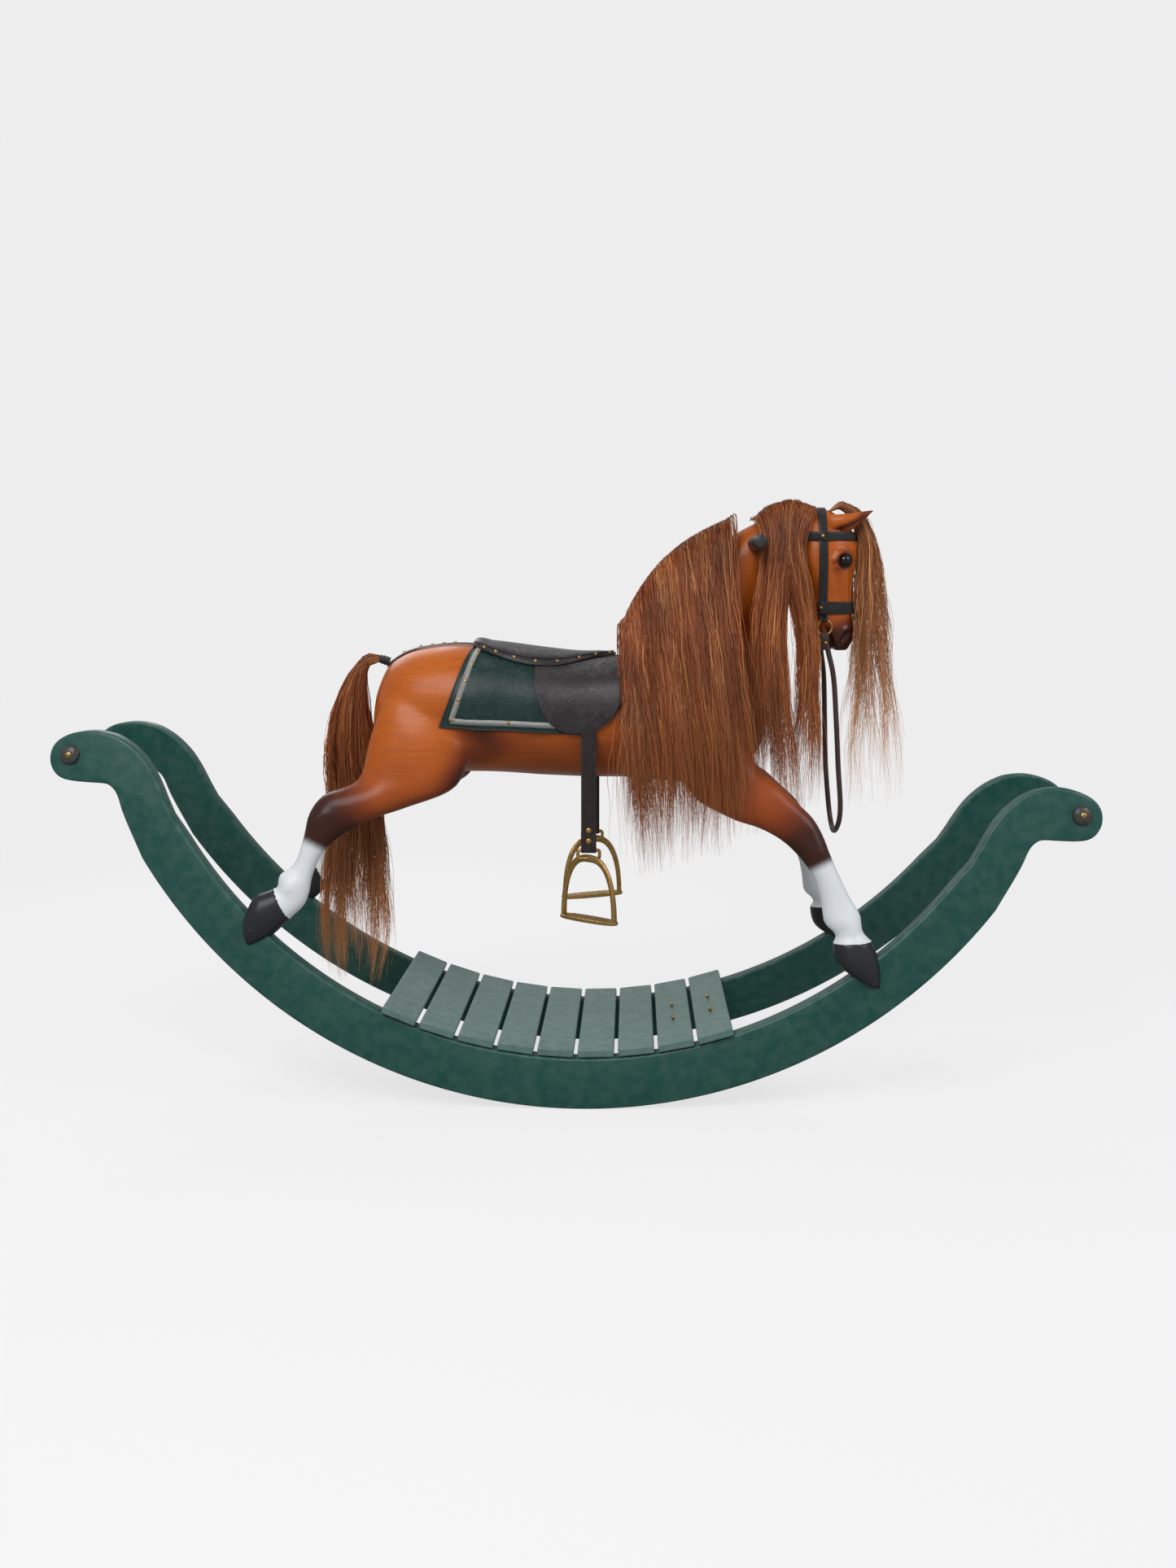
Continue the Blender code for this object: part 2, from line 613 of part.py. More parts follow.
def make_saddle():
    cloth = ((-0.174, -0.231, 0.634), (-0.110, -0.140, 0.629), (-0.050, -0.055, 0.6245),
             (0.010, 0.012, 0.6205), (0.060, 0.062, 0.619))
    sheet_over_back("saddle_cloth", cloth, CLOTH_OFFSET, CLOTH_THICKNESS, CLOTH_GREEN)
    seat = ((-0.180, -0.180, 0.7660), (-0.160, -0.160, 0.7580), (-0.137, -0.137, 0.7500),
            (-0.104, -0.104, 0.7400), (-0.070, -0.070, 0.7340), (-0.031, -0.031, 0.7340),
            (0.006, 0.006, 0.7410), (0.038, 0.038, 0.7470), (0.066, 0.066, 0.7500))
    sheet_over_back("saddle_seat", seat, SEAT_OFFSET, SEAT_THICKNESS, SADDLE_BLACK, 6)
    for label, side in SIDES:
        make_flap(label, side)


def strap(name, stations, finish):
    """A flat strap: each station gives its middle, the way out of the horse, and the way across."""
    bm = bmesh.new()
    rings = []
    for middle, outward, across, thickness in stations:
        corners = (middle - across, middle + across, middle + across + outward * thickness,
                   middle - across + outward * thickness)
        rings.append([bm.verts.new(c) for c in corners])
    bridge(bm, rings)
    return add_object(name, bm, finish, smooth=False)


def make_crupper():
    """The strap from the saddle along the croup to the tail."""
    stations = []
    for x in (-0.186, -0.215, -0.245, -0.270, -0.290, -0.306):
        middle, half_height, _ = body_section(x)
        ahead = body_section(x + 0.01)
        slope = (ahead[0] + ahead[1] - middle - half_height) / 0.01
        outward = Vector((-slope, 0, 1)).normalized()
        point = Vector((x, 0, middle + half_height)) + outward * 0.0012
        stations.append((point, outward, Vector((0, 0.008, 0)), 0.0025))
    strap("crupper_strap", stations, SADDLE_BLACK)


def head_section(z):
    """Rear x, front x and half width of the head at a height."""
    rows = [((b[1] + f[1]) / 2, b[0], f[0], w) for b, f, w in HEAD]
    for high, low in zip(rows, rows[1:]):
        if low[0] <= z <= high[0]:
            share = (z - high[0]) / (low[0] - high[0])
            return [a + (b - a) * share for a, b in zip(high[1:], low[1:])]
    return list(rows[0][1:] if z > rows[0][0] else rows[-1][1:])


def head_side(x, z):
    """Half width of the head at a point of its profile."""
    rear, front, half_width = head_section(z)
    middle_x, half_depth = (rear + front) / 2, (front - rear) / 2
    return half_width * math.sqrt(1 - min(0.95, abs(x - middle_x) / half_depth) ** 2)


def head_station(z, angle, offset, across, thickness):
    """A strap's station on the head, angle measured from the face towards the left cheek."""
    rear, front, half_width = head_section(z)
    middle_x, half_depth = (rear + front) / 2, (front - rear) / 2
    outward = Vector((math.cos(angle) * half_width, math.sin(angle) * half_depth, 0)).normalized()
    surface = Vector((middle_x + half_depth * math.cos(angle), half_width * math.sin(angle), z))
    return surface + outward * offset, outward, across, thickness


def make_headpiece():
    """Both cheek straps and the crown over the poll, cut from one length."""
    across = Vector((0.0078, 0, 0))
    cheek = []
    for z in (0.8225, 0.845, 0.870, 0.895, 0.920, 0.945, 0.965, 0.980):
        x = 0.4245 - 0.004 * (z - 0.8225) / 0.18
        y = max(head_side(x + reach, z) for reach in (-0.0078, 0.0, 0.0078))
        cheek.append((x, y + 0.0022, z))
    stations = []
    for x, y, z in cheek:
        stations.append((Vector((x, -y, z)), Vector((0, -1, 0)), across, 0.0025))
    crown_x = cheek[-1][0]
    for y, z in ((-0.0300, 0.9960), (-0.0190, 1.0060), (0.0, 1.0090), (0.0190, 1.0060), (0.0300, 0.9960)):
        outward = Vector((0, y * 1.6, 0.02)).normalized()
        stations.append((Vector((crown_x, y, z)), outward, across, 0.0025))
    for x, y, z in reversed(cheek):
        stations.append((Vector((x, y, z)), Vector((0, 1, 0)), across, 0.0025))
    strap("bridle_headpiece", stations, BRIDLE_BLACK)


def make_band(name, z, span, offset, half_height):
    """A band round the front of the head, from one side to the other."""
    stations = []
    steps = 16
    for i in range(steps + 1):
        angle = math.radians(-span + 2 * span * i / steps)
        stations.append(head_station(z, angle, offset, Vector((0, 0, half_height)), 0.0025))
    strap(name, stations, BRIDLE_BLACK)


def torus(name, major, minor, centre, axis, finish, count=20, tube=8):
    bm = bmesh.new()
    rings = []
    for i in range(count):
        around = 2 * math.pi * i / count
        points = []
        for k in range(tube):
            angle = 2 * math.pi * k / tube
            radius = major + minor * math.cos(angle)
            points.append(bm.verts.new((radius * math.cos(around), radius * math.sin(around),
                                        minor * math.sin(angle))))
        rings.append(points)
    for lower, upper in zip(rings, rings[1:] + rings[:1]):
        for k in range(tube):
            j = (k + 1) % tube
            bm.faces.new((lower[k], lower[j], upper[j], upper[k]))
    turn = Vector((0, 0, 1)).rotation_difference(Vector(axis)).to_matrix().to_4x4()
    bm.transform(Matrix.Translation(Vector(centre)) @ turn)
    return add_object(name, bm, finish)


def through(points, count):
    """Evenly numbered points on a smooth curve through a route's own points."""
    result = []
    spans = len(points) - 1
    for i in range(count + 1):
        place = i / count * spans
        k = min(int(place), spans - 1)
        t = place - k
        p0, p1 = Vector(points[max(k - 1, 0)]), Vector(points[k])
        p2, p3 = Vector(points[k + 1]), Vector(points[min(k + 2, spans)])
        result.append(0.5 * (2 * p1 + (p2 - p0) * t + (2 * p0 - 5 * p1 + 4 * p2 - p3) * t * t
                             + (3 * p1 - p0 - 3 * p2 + p3) * t ** 3))
    return result


def tube_along(name, points, radius, finish, resolution=2, cyclic=False, group=None):
    """A round bar or cord along points, made a closed mesh."""
    curve = bpy.data.curves.new(name, "CURVE")
    curve.dimensions = "3D"
    curve.bevel_depth = radius
    curve.bevel_resolution = resolution
    curve.use_fill_caps = not cyclic
    spline = curve.splines.new("POLY")
    spline.points.add(len(points) - 1)
    for point, place in zip(spline.points, points):
        point.co = (*place, 1.0)
    spline.use_cyclic_u = cyclic
    guide = bpy.data.objects.new(name + "_guide", curve)
    PARTS.objects.link(guide)
    bpy.context.view_layer.update()
    evaluated = guide.evaluated_get(bpy.context.evaluated_depsgraph_get())
    mesh = bpy.data.meshes.new_from_object(evaluated)
    bpy.data.objects.remove(guide, do_unlink=True)
    bm = bmesh.new()
    bm.from_mesh(mesh)
    bmesh.ops.remove_doubles(bm, verts=bm.verts, dist=0.00005)
    return add_object(name, bm, finish, group)


REIN_ROUTE = (
    (0.4285, -0.0405, 0.7850), (0.4340, -0.0415, 0.7600), (0.4440, -0.0420, 0.7150),
    (0.4500, -0.0420, 0.6400), (0.4550, -0.0420, 0.5600), (0.4600, -0.0400, 0.5000),
    (0.4600, -0.0330, 0.4680), (0.4570, -0.0180, 0.4490), (0.4550, 0.0000, 0.4430),
    (0.4540, 0.0180, 0.4490), (0.4520, 0.0330, 0.4680), (0.4490, 0.0400, 0.5000),
    (0.4440, 0.0420, 0.5600), (0.4410, 0.0420, 0.6400), (0.4380, 0.0420, 0.7150),
    (0.4320, 0.0415, 0.7600), (0.4285, 0.0405, 0.7850),
)


def make_bridle():
    make_headpiece()
    make_band("browband", 0.9545, 118, 0.0080, 0.0065)
    make_band("noseband", 0.8370, 115, 0.0087, 0.0075)
    for label, side in SIDES:
        torus("bit_ring_" + label, BIT_RING, BIT_WIRE, (0.4270, side * 0.0405, 0.8020), (0, 1, 0),
              BRASS)
    tube_along("reins", through(REIN_ROUTE, 48), REIN_RADIUS, REIN_BROWN, 2)


# Stirrups -----------------------------------------------------------------------------------------
def extrude_across(name, outline, hole, finish):
    """A strap's side profile in (y, z), made as wide as the leather."""
    curve = bpy.data.curves.new(name, "CURVE")
    curve.dimensions = "2D"
    curve.fill_mode = "BOTH"
    curve.extrude = STRAP_WIDTH / 2
    for points in (outline, hole):
        spline = curve.splines.new("POLY")
        spline.points.add(len(points) - 1)
        for point, (y, z) in zip(spline.points, points):
            point.co = (y, z, 0.0, 1.0)
        spline.use_cyclic_u = True
    guide = bpy.data.objects.new(name + "_guide", curve)
    PARTS.objects.link(guide)
    bpy.context.view_layer.update()
    evaluated = guide.evaluated_get(bpy.context.evaluated_depsgraph_get())
    mesh = bpy.data.meshes.new_from_object(evaluated)
    bpy.data.objects.remove(guide, do_unlink=True)
    bm = bmesh.new()
    bm.from_mesh(mesh)
    bmesh.ops.remove_doubles(bm, verts=bm.verts, dist=0.00005)
    upright = Matrix(((0, 0, 1, STRAP_X), (1, 0, 0, 0), (0, 1, 0, 0), (0, 0, 0, 1)))
    bm.transform(upright)
    return add_object(name, bm, finish, smooth=False)


def make_leather(label, side):
    """The stirrup leather: a short stretch under the flap, then the hanging strap with its loop."""
    half = STRAP_THICKNESS / 2
    bm = bmesh.new()
    height = STRAP_TOP - STRAP_BEND - 0.0025
    place = Matrix.Translation((STRAP_X, side * STRAP_Y, STRAP_TOP - height / 2))
    size = Matrix.Diagonal((STRAP_WIDTH, STRAP_THICKNESS, height, 1.0))
    bmesh.ops.create_cube(bm, size=1.0, matrix=place @ size)
    add_object("stirrup_leather_top_" + label, bm, STRAP_BROWN, smooth=False)
    loop = 0.0072
    y = side * STRAP_Y
    outline = [(y + half * math.cos(a), STRAP_BEND + half * math.sin(a))
               for a in (i * math.pi / 6 for i in range(7))]
    outline += [(y - half, 0.476), (y - 0.0034, 0.473), (y - 0.0034, IRON_BAR_Z + 0.0085)]
    outline += [(y + loop * math.cos(a), IRON_BAR_Z + loop * math.sin(a))
                for a in (math.radians(155 + 230 * i / 12) for i in range(13))]
    outline += [(y + 0.0034, IRON_BAR_Z + 0.0085), (y + 0.0034, 0.473), (y + half, 0.476)]
    hole = [(y + 0.0040 * math.cos(a), IRON_BAR_Z + 0.0040 * math.sin(a))
            for a in (2 * math.pi * i / 16 for i in range(16))]
    extrude_across("stirrup_leather_" + label, outline, hole, STRAP_BROWN)


def make_iron(label, side, turn):
    """The stirrup iron: an eye for the leather, an arch turned toe-out, and a flat tread."""
    name = "stirrup_iron_" + label
    eye_half, eye_low = 0.0185, IRON_BAR_Z - 0.0145
    corner = 0.004
    eye = []
    for x_sign, z, start in ((1, eye_low, -90), (1, IRON_BAR_Z, 0), (-1, IRON_BAR_Z, 90), (-1, eye_low, 180)):
        centre_x = x_sign * (eye_half - corner)
        centre_z = z + corner if z == eye_low else z - corner
        for k in range(3):
            angle = math.radians(start + 45 * k)
            eye.append((STRAP_X + centre_x + corner * math.cos(angle), side * STRAP_Y,
                        centre_z + corner * math.sin(angle)))
    iron = tube_along(name, eye, IRON_BAR, BRASS, 2, cyclic=True)
    height = eye_low - TREAD_Z
    arch = []
    steps = 20
    for i in range(steps + 1):
        angle = math.pi * i / steps
        across = IRON_HALF_WIDTH * math.copysign(abs(math.cos(angle)) ** 0.75, math.cos(angle))
        z = TREAD_Z + height * math.sin(angle) ** 0.9
        arch.append(Vector((across, 0, z)))
    place = Matrix.Translation((STRAP_X, side * STRAP_Y, 0)) @ Matrix.Rotation(turn, 4, "Z")
    arch = [place @ point for point in arch]
    bow = tube_along("arch_form_" + label, arch, IRON_WIRE, None, 2, group=CUTTERS)
    boolean(iron, as_cutter(bow), "UNION")
    bm = bmesh.new()
    size = Matrix.Diagonal((IRON_HALF_WIDTH + 0.006, 0.0165, TREAD_THICKNESS, 1.0))
    bmesh.ops.create_cone(bm, cap_ends=True, segments=20, radius1=1.0, radius2=1.0, depth=1.0,
                          matrix=place @ Matrix.Translation((0, 0, TREAD_Z)) @ size)
    tread = as_cutter(add_object("tread_form_" + label, bm, None, CUTTERS, smooth=False))
    boolean(iron, tread, "UNION")


# Hair and small brass ------------------------------------------------------------------------------
def make_hair():
    limb("tail", TAIL, HAIR, 10, 2)
    limb("forelock", FORELOCK, HAIR, 10, 2)
    limb("mane_rear", MANE_REAR, HAIR, 12, 2)
    limb("mane_front", MANE_FRONT, HAIR, 10, 2)
    sleeve = (((-0.3345, 0.734), (-0.3315, 0.748), 0.0085), ((-0.3425, 0.7365), (-0.3425, 0.7520), 0.0085),
              ((-0.3510, 0.7395), (-0.3515, 0.7535), 0.0070))
    limb("tail_wrap", sleeve, SADDLE_BLACK, 10, 1)


def make_platform_pins():
    """Four brass pins that stand in the two slats nearest the head."""
    for index, (slat, across) in enumerate(((7, 0.015), (7, -0.070), (8, 0.015), (8, -0.070))):
        angle = (slat - (SLATS - 1) / 2) * SLAT_PITCH / (ROCKER_INNER_RADIUS - SLAT_THICKNESS / 2)
        radius = ROCKER_INNER_RADIUS - 0.0012 - SLAT_THICKNESS - GAP
        seat = Vector((radius * math.sin(angle), across, -radius * math.cos(angle)))
        upward = Vector((-math.sin(angle), 0, math.cos(angle)))
        profile = ((0.0022, 0.0), (0.0022, 0.0035), (0.0034, 0.0045), (0.0034, 0.0060), (0.0015, 0.0075))
        turned(f"platform_pin_{index + 1}", profile, seat, upward, BRASS, 10, parent=BOW)


def build():
    rockers, rebates = {}, {}
    for label, side in SIDES:
        rockers[label], rebates[label] = make_rocker(label, side)
    for index in range(SLATS):
        make_slat(index)
    for end_label, end in (("front", 1), ("rear", -1)):
        rail = make_end_rail(end_label, end)
        for label, side in SIDES:
            make_end_bolt(f"{end_label}_{label}", side, end, rockers[label], rail)
    legs = make_legs(rebates)
    for label, side in SIDES:
        make_hoof_screw("hoof_screw_front_" + label, legs["leg_front_" + label], rockers[label],
                        side, 0.499, 0.233, 0.192)
        make_hoof_screw("hoof_screw_rear_" + label, legs["leg_rear_" + label], rockers[label],
                        side, -0.545, 0.293, 0.190)
    neck = limb("neck", NECK, CHESTNUT, 20, 1)
    make_body(legs, neck)
    make_head(neck)
    make_handle(neck)
    make_saddle()
    make_crupper()
    make_bridle()
    for (label, side), turn in zip(SIDES, (-38, 27)):
        make_leather(label, side)
        make_iron(label, side, math.radians(turn))
    make_hair()
    make_platform_pins()


clear_scene()
PARTS = collection("rocking_horse")
CUTTERS = collection("cutters")
BOW = bow_empty()
build()
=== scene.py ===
"""The looks of a bow rocking horse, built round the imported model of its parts.

The sections follow the horse as it is put together: bows and platform, carved timber, saddle, bridle,
stirrups, hair. +X points to the horse's head, +Z is up, -Y is the horse's right side. Metres.
"""

import math
import random

import bmesh
import bpy
import numpy as np
from mathutils import Matrix, Vector
from mathutils.bvhtree import BVHTree
from mathutils.noise import noise as wander


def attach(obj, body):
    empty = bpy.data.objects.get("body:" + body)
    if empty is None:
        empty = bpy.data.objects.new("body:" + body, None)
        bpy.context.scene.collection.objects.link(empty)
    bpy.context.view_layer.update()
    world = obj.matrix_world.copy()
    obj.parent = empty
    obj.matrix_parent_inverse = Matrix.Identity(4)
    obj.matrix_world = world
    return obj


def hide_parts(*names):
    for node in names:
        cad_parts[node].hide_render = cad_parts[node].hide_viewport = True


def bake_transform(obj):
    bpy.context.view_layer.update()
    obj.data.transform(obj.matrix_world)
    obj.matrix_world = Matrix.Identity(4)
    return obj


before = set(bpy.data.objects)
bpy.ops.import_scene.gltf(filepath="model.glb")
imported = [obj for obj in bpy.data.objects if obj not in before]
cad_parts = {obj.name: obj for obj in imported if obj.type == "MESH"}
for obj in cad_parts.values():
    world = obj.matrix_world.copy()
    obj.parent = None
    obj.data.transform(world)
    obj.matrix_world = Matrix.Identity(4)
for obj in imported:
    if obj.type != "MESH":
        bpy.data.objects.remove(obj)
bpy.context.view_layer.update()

# ---- Camera ---------------------------------------------------------------------------------------
# Level with the saddle on the horse's right side, a little towards the tail, and tipped down.
camera_data = bpy.data.cameras.new("studio_camera")
camera_data.lens = 32.96
camera_data.sensor_width = 36.0
camera = bpy.data.objects.new("studio_camera", camera_data)
TIPPED_DOWN, TURNED_LEFT = 0.1166, 0.0313
camera.location = (0.0978, -2.538, 0.8218)
camera.rotation_euler = (math.pi / 2 - TIPPED_DOWN, 0.0, TURNED_LEFT)
bpy.context.scene.collection.objects.link(camera)
bpy.context.scene.camera = camera


# ---- Reins ------------------------------------------------------------------------------------------
# A cord of dark red-brown leather, rolled round a core and sewn, that hangs from ring to ring.
# Its ends are cut flat, folded round the bit rings and fastened with brass studs.
def surface(name, roughness=0.5, metallic=0.0, coat=0.0, coat_roughness=0.1):
    """A finish: its material, node tree and shader, and points measured on the piece itself."""
    finish = bpy.data.materials.new(name)
    finish.use_nodes = True
    tree = finish.node_tree
    shader = tree.nodes["Principled BSDF"]
    shader.inputs["Roughness"].default_value = roughness
    shader.inputs["Metallic"].default_value = metallic
    shader.inputs["Coat Weight"].default_value = coat
    shader.inputs["Coat Roughness"].default_value = coat_roughness
    place = tree.nodes.new("ShaderNodeTexCoord").outputs["Object"]
    return finish, tree, shader, place


def wire(tree, socket, value):
    if isinstance(value, bpy.types.NodeSocket):
        tree.links.new(value, socket)
    elif isinstance(value, tuple) and len(value) == 3 and socket.type == "RGBA":
        socket.default_value = (*value, 1.0)
    else:
        socket.default_value = value


def stretched(tree, place, x, y, z):
    """The same points, counted more finely along some directions than others."""
    made = tree.nodes.new("ShaderNodeMapping")
    wire(tree, made.inputs["Vector"], place)
    made.inputs["Scale"].default_value = (x, y, z)
    return made.outputs["Vector"]


def cloudy(tree, place, scale, detail=3.0, distortion=0.0):
    made = tree.nodes.new("ShaderNodeTexNoise")
    wire(tree, made.inputs["Vector"], place)
    made.inputs["Scale"].default_value = scale
    made.inputs["Detail"].default_value = detail
    made.inputs["Distortion"].default_value = distortion
    return made.outputs["Fac"]


def cells(tree, place, scale, kind="F1"):
    made = tree.nodes.new("ShaderNodeTexVoronoi")
    made.feature = kind
    wire(tree, made.inputs["Vector"], place)
    made.inputs["Scale"].default_value = scale
    return made.outputs["Distance"]


def between(tree, value, low, high, start=0.0, end=1.0):
    """A value spread smoothly from start to end as it goes from low to high."""
    made = tree.nodes.new("ShaderNodeMapRange")
    made.interpolation_type = "SMOOTHSTEP"
    wire(tree, made.inputs["Value"], value)
    for socket, number in zip(made.inputs[1:5], (low, high, start, end)):
        socket.default_value = number
    return made.outputs["Result"]


def sums(tree, how, a, b):
    made = tree.nodes.new("ShaderNodeMath")
    made.operation = how
    wire(tree, made.inputs[0], a)
    wire(tree, made.inputs[1], b)
    return made.outputs[0]


def mixed(tree, share, a, b, how="MIX"):
    made = tree.nodes.new("ShaderNodeMix")
    made.data_type = "RGBA"
    made.blend_type = how
    for index, value in ((0, share), (6, a), (7, b)):
        wire(tree, made.inputs[index], value)
    return made.outputs[2]


def relief(tree, shader, height, depth, under=None):
    """Fine bumps, depth metres high, over any coarser ones given by under."""
    made = tree.nodes.new("ShaderNodeBump")
    made.inputs["Distance"].default_value = depth
    wire(tree, made.inputs["Height"], height)
    if under is not None:
        wire(tree, made.inputs["Normal"], under)
    wire(tree, shader.inputs["Normal"], made.outputs["Normal"])
    return made.outputs["Normal"]


def two_toned(tree, shader, pattern, low, high, dark, light):
    """Colours a finish from dark to light where its pattern goes from low to high."""
    wire(tree, shader.inputs["Base Color"], mixed(tree, between(tree, pattern, low, high), dark, light))


def grained_leather(name, colour, worn_and_sheen, grain=900.0, depth=0.00035, roughness=0.42):
    """Pebbled hide: raised cells with creases between them, paler in broad patches, partly as wear and
    partly as painted sheen, and smoother in places.
    """
    finish, tree, shader, place = surface(name, roughness, coat=0.45, coat_roughness=0.32)
    bent = mixed(tree, 0.12, place, cloudy_colour(tree, place, grain / 9))
    pebbles = cells(tree, bent, grain, "DISTANCE_TO_EDGE")
    raised = between(tree, pebbles, 0.0, 0.32)
    broad = cloudy(tree, place, 26.0, 4.0)
    # Paler in broad patches: partly wear, partly painted sheen.
    tone = mixed(tree, between(tree, broad, 0.35, 0.75), colour, worn_and_sheen)
    dark = tuple(c * 0.55 for c in colour)
    wire(tree, shader.inputs["Base Color"], mixed(tree, raised, dark, tone))
    wire(tree, shader.inputs["Roughness"],
         between(tree, cloudy(tree, place, 60.0), 0.3, 0.7, roughness - 0.08, roughness + 0.1))
    coarse = relief(tree, shader, broad, 0.0012)
    relief(tree, shader, raised, depth, coarse)
    return finish


def cloudy_colour(tree, place, scale):
    made = tree.nodes.new("ShaderNodeTexNoise")
    wire(tree, made.inputs["Vector"], place)
    made.inputs["Scale"].default_value = scale
    return made.outputs["Color"]


def show(name, bm, finish, body="horse", stands_for=(), smooth=35.0):
    """Makes a piece of a mesh: shaded smooth under that angle, riding on a body, with its finish."""
    mesh = bpy.data.meshes.new(name)
    bm.to_mesh(mesh)
    bm.free()
    mesh.shade_smooth()
    mesh.set_sharp_from_angle(angle=math.radians(smooth))
    piece = bpy.data.objects.new(name, mesh)
    bpy.context.scene.collection.objects.link(piece)
    if finish:
        mesh.materials.append(finish)
    if stands_for:
        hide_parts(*stands_for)
    if body:
        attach(piece, body)
    return piece


def flowing(points, steps):
    """Points on a smooth curve through the given ones, steps of them from one to the next."""
    points = [Vector(p) for p in points]
    result = []
    for i in range(len(points) - 1):
        p0, p1, p2 = points[max(i - 1, 0)], points[i], points[i + 1]
        p3 = points[min(i + 2, len(points) - 1)]
        for k in range(steps):
            t = k / steps
            result.append(0.5 * (2 * p1 + (p2 - p0) * t + (2 * p0 - 5 * p1 + 4 * p2 - p3) * t * t
                                 + (3 * p1 - p0 - 3 * p2 + p3) * t ** 3))
    return result + [points[-1]]


REIN_WIDTH = 0.009
REIN_ROUTE = (
    (0.4285, -0.0405, 0.7850), (0.4340, -0.0415, 0.7600), (0.4440, -0.0420, 0.7150),
    (0.4500, -0.0420, 0.6400), (0.4550, -0.0420, 0.5600), (0.4600, -0.0400, 0.5000),
    (0.4600, -0.0330, 0.4680), (0.4570, -0.0180, 0.4490), (0.4550, 0.0000, 0.4430),
    (0.4540, 0.0180, 0.4490), (0.4520, 0.0330, 0.4680), (0.4490, 0.0400, 0.5000),
    (0.4440, 0.0420, 0.5600), (0.4410, 0.0420, 0.6400), (0.4380, 0.0420, 0.7150),
    (0.4320, 0.0415, 0.7600), (0.4285, 0.0405, 0.7850),
)
rein_leather = grained_leather("rolled_rein_leather", (0.070, 0.026, 0.025), (0.120, 0.052, 0.045), 1100.0,
                               0.0002)
rein_line = flowing(REIN_ROUTE, 6)
rein_curve = bpy.data.curves.new("rein_cord", "CURVE")
rein_curve.dimensions = "3D"
rein_curve.bevel_depth = REIN_WIDTH / 2
rein_curve.bevel_resolution = 4
rein_curve.use_fill_caps = True
rein_spline = rein_curve.splines.new("POLY")
rein_spline.points.add(len(rein_line) - 1)
for point, where in zip(rein_spline.points, rein_line):
    point.co = (*where, 1.0)
rein_curve.materials.append(rein_leather)
reins = bpy.data.objects.new("rein_cord", rein_curve)
bpy.context.scene.collection.objects.link(reins)
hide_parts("reins")
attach(reins, "rein_cord")


# ---- Studio -----------------------------------------------------------------------------------------
# A pale floor that fades into an even pale surround, lit by broad soft lamps.
def studio_lamp(name, where, aim, width, watts):
    data = bpy.data.lights.new(name, "AREA")
    data.shape = "DISK"
    data.size = width
    data.energy = watts
    lamp = bpy.data.objects.new(name, data)
    lamp.location = where
    lamp.rotation_euler = (Vector(aim) - Vector(where)).to_track_quat("-Z", "Y").to_euler()
    bpy.context.scene.collection.objects.link(lamp)


SURROUND = (0.85, 0.85, 0.85)
world = bpy.data.worlds.new("pale_surround")
world.use_nodes = True
tree = world.node_tree
tree.nodes["Background"].inputs["Color"].default_value = (*SURROUND, 1.0)
seen = tree.nodes.new("ShaderNodeLightPath").outputs["Is Camera Ray"]
wire(tree, tree.nodes["Background"].inputs["Strength"], between(tree, seen, 0.0, 1.0, 0.45, 1.0))
bpy.context.scene.world = world
bpy.context.scene.view_settings.view_transform = "Standard"
studio_lamp("lamp_over_near_side", (-0.9, -2.6, 2.9), (0.0, 0.0, 0.5), 2.2, 62.0)
studio_lamp("lamp_over_head", (2.4, -1.4, 2.4), (0.3, 0.0, 0.6), 1.6, 22.0)
studio_lamp("lamp_far_side", (-1.6, 2.6, 2.6), (0.0, 0.0, 0.5), 2.2, 26.0)

floor_mesh = bmesh.new()
bmesh.ops.create_circle(floor_mesh, cap_ends=True, segments=96, radius=9.0)
floor_finish, tree, shader, place = surface("studio_floor_paint", 0.9)
shader.inputs["Base Color"].default_value = (0.20, 0.20, 0.20, 1.0)
shader.inputs["Specular IOR Level"].default_value = 0.0
shader.inputs["Emission Color"].default_value = (*SURROUND, 1.0)
seen = tree.nodes.new("ShaderNodeLightPath").outputs["Is Camera Ray"]
wire(tree, shader.inputs["Emission Strength"], between(tree, seen, 0.0, 1.0, 0.16, 0.85))
distance = tree.nodes.new("ShaderNodeVectorMath")
distance.operation = "LENGTH"
wire(tree, distance.inputs[0], place)
edge = between(tree, distance.outputs["Value"], 1.3, 3.4)
clear = tree.nodes.new("ShaderNodeBsdfTransparent")
blended = tree.nodes.new("ShaderNodeMixShader")
wire(tree, blended.inputs[0], edge)
wire(tree, blended.inputs[1], shader.outputs[0])
wire(tree, blended.inputs[2], clear.outputs[0])
wire(tree, tree.nodes["Material Output"].inputs["Surface"], blended.outputs[0])
studio_floor = show("studio_floor", floor_mesh, floor_finish, body=None)


# ---- Bows -------------------------------------------------------------------------------------------
# Two bows sawn from laminated ash, each ending in a scroll. Their edges are rounded over by hand and
# they are painted dark green. They lean inwards and carry the slats in a rebate along the upper edge.
# Their rounded edges are painted paler, partly as worn paint and partly as a painted highlight.
SIDES = (("right", -1), ("left", 1))
BOW_RADIUS = 0.890
BOW_INNER = 0.806
BOW_THICKNESS = 0.030
BOW_LEAN = math.radians(9.2)
HALF_STANCE = 0.200
NOSE_DOWN = math.radians(3.25)
FLOOR_X = 0.015
REBATE_ANGLE = 50
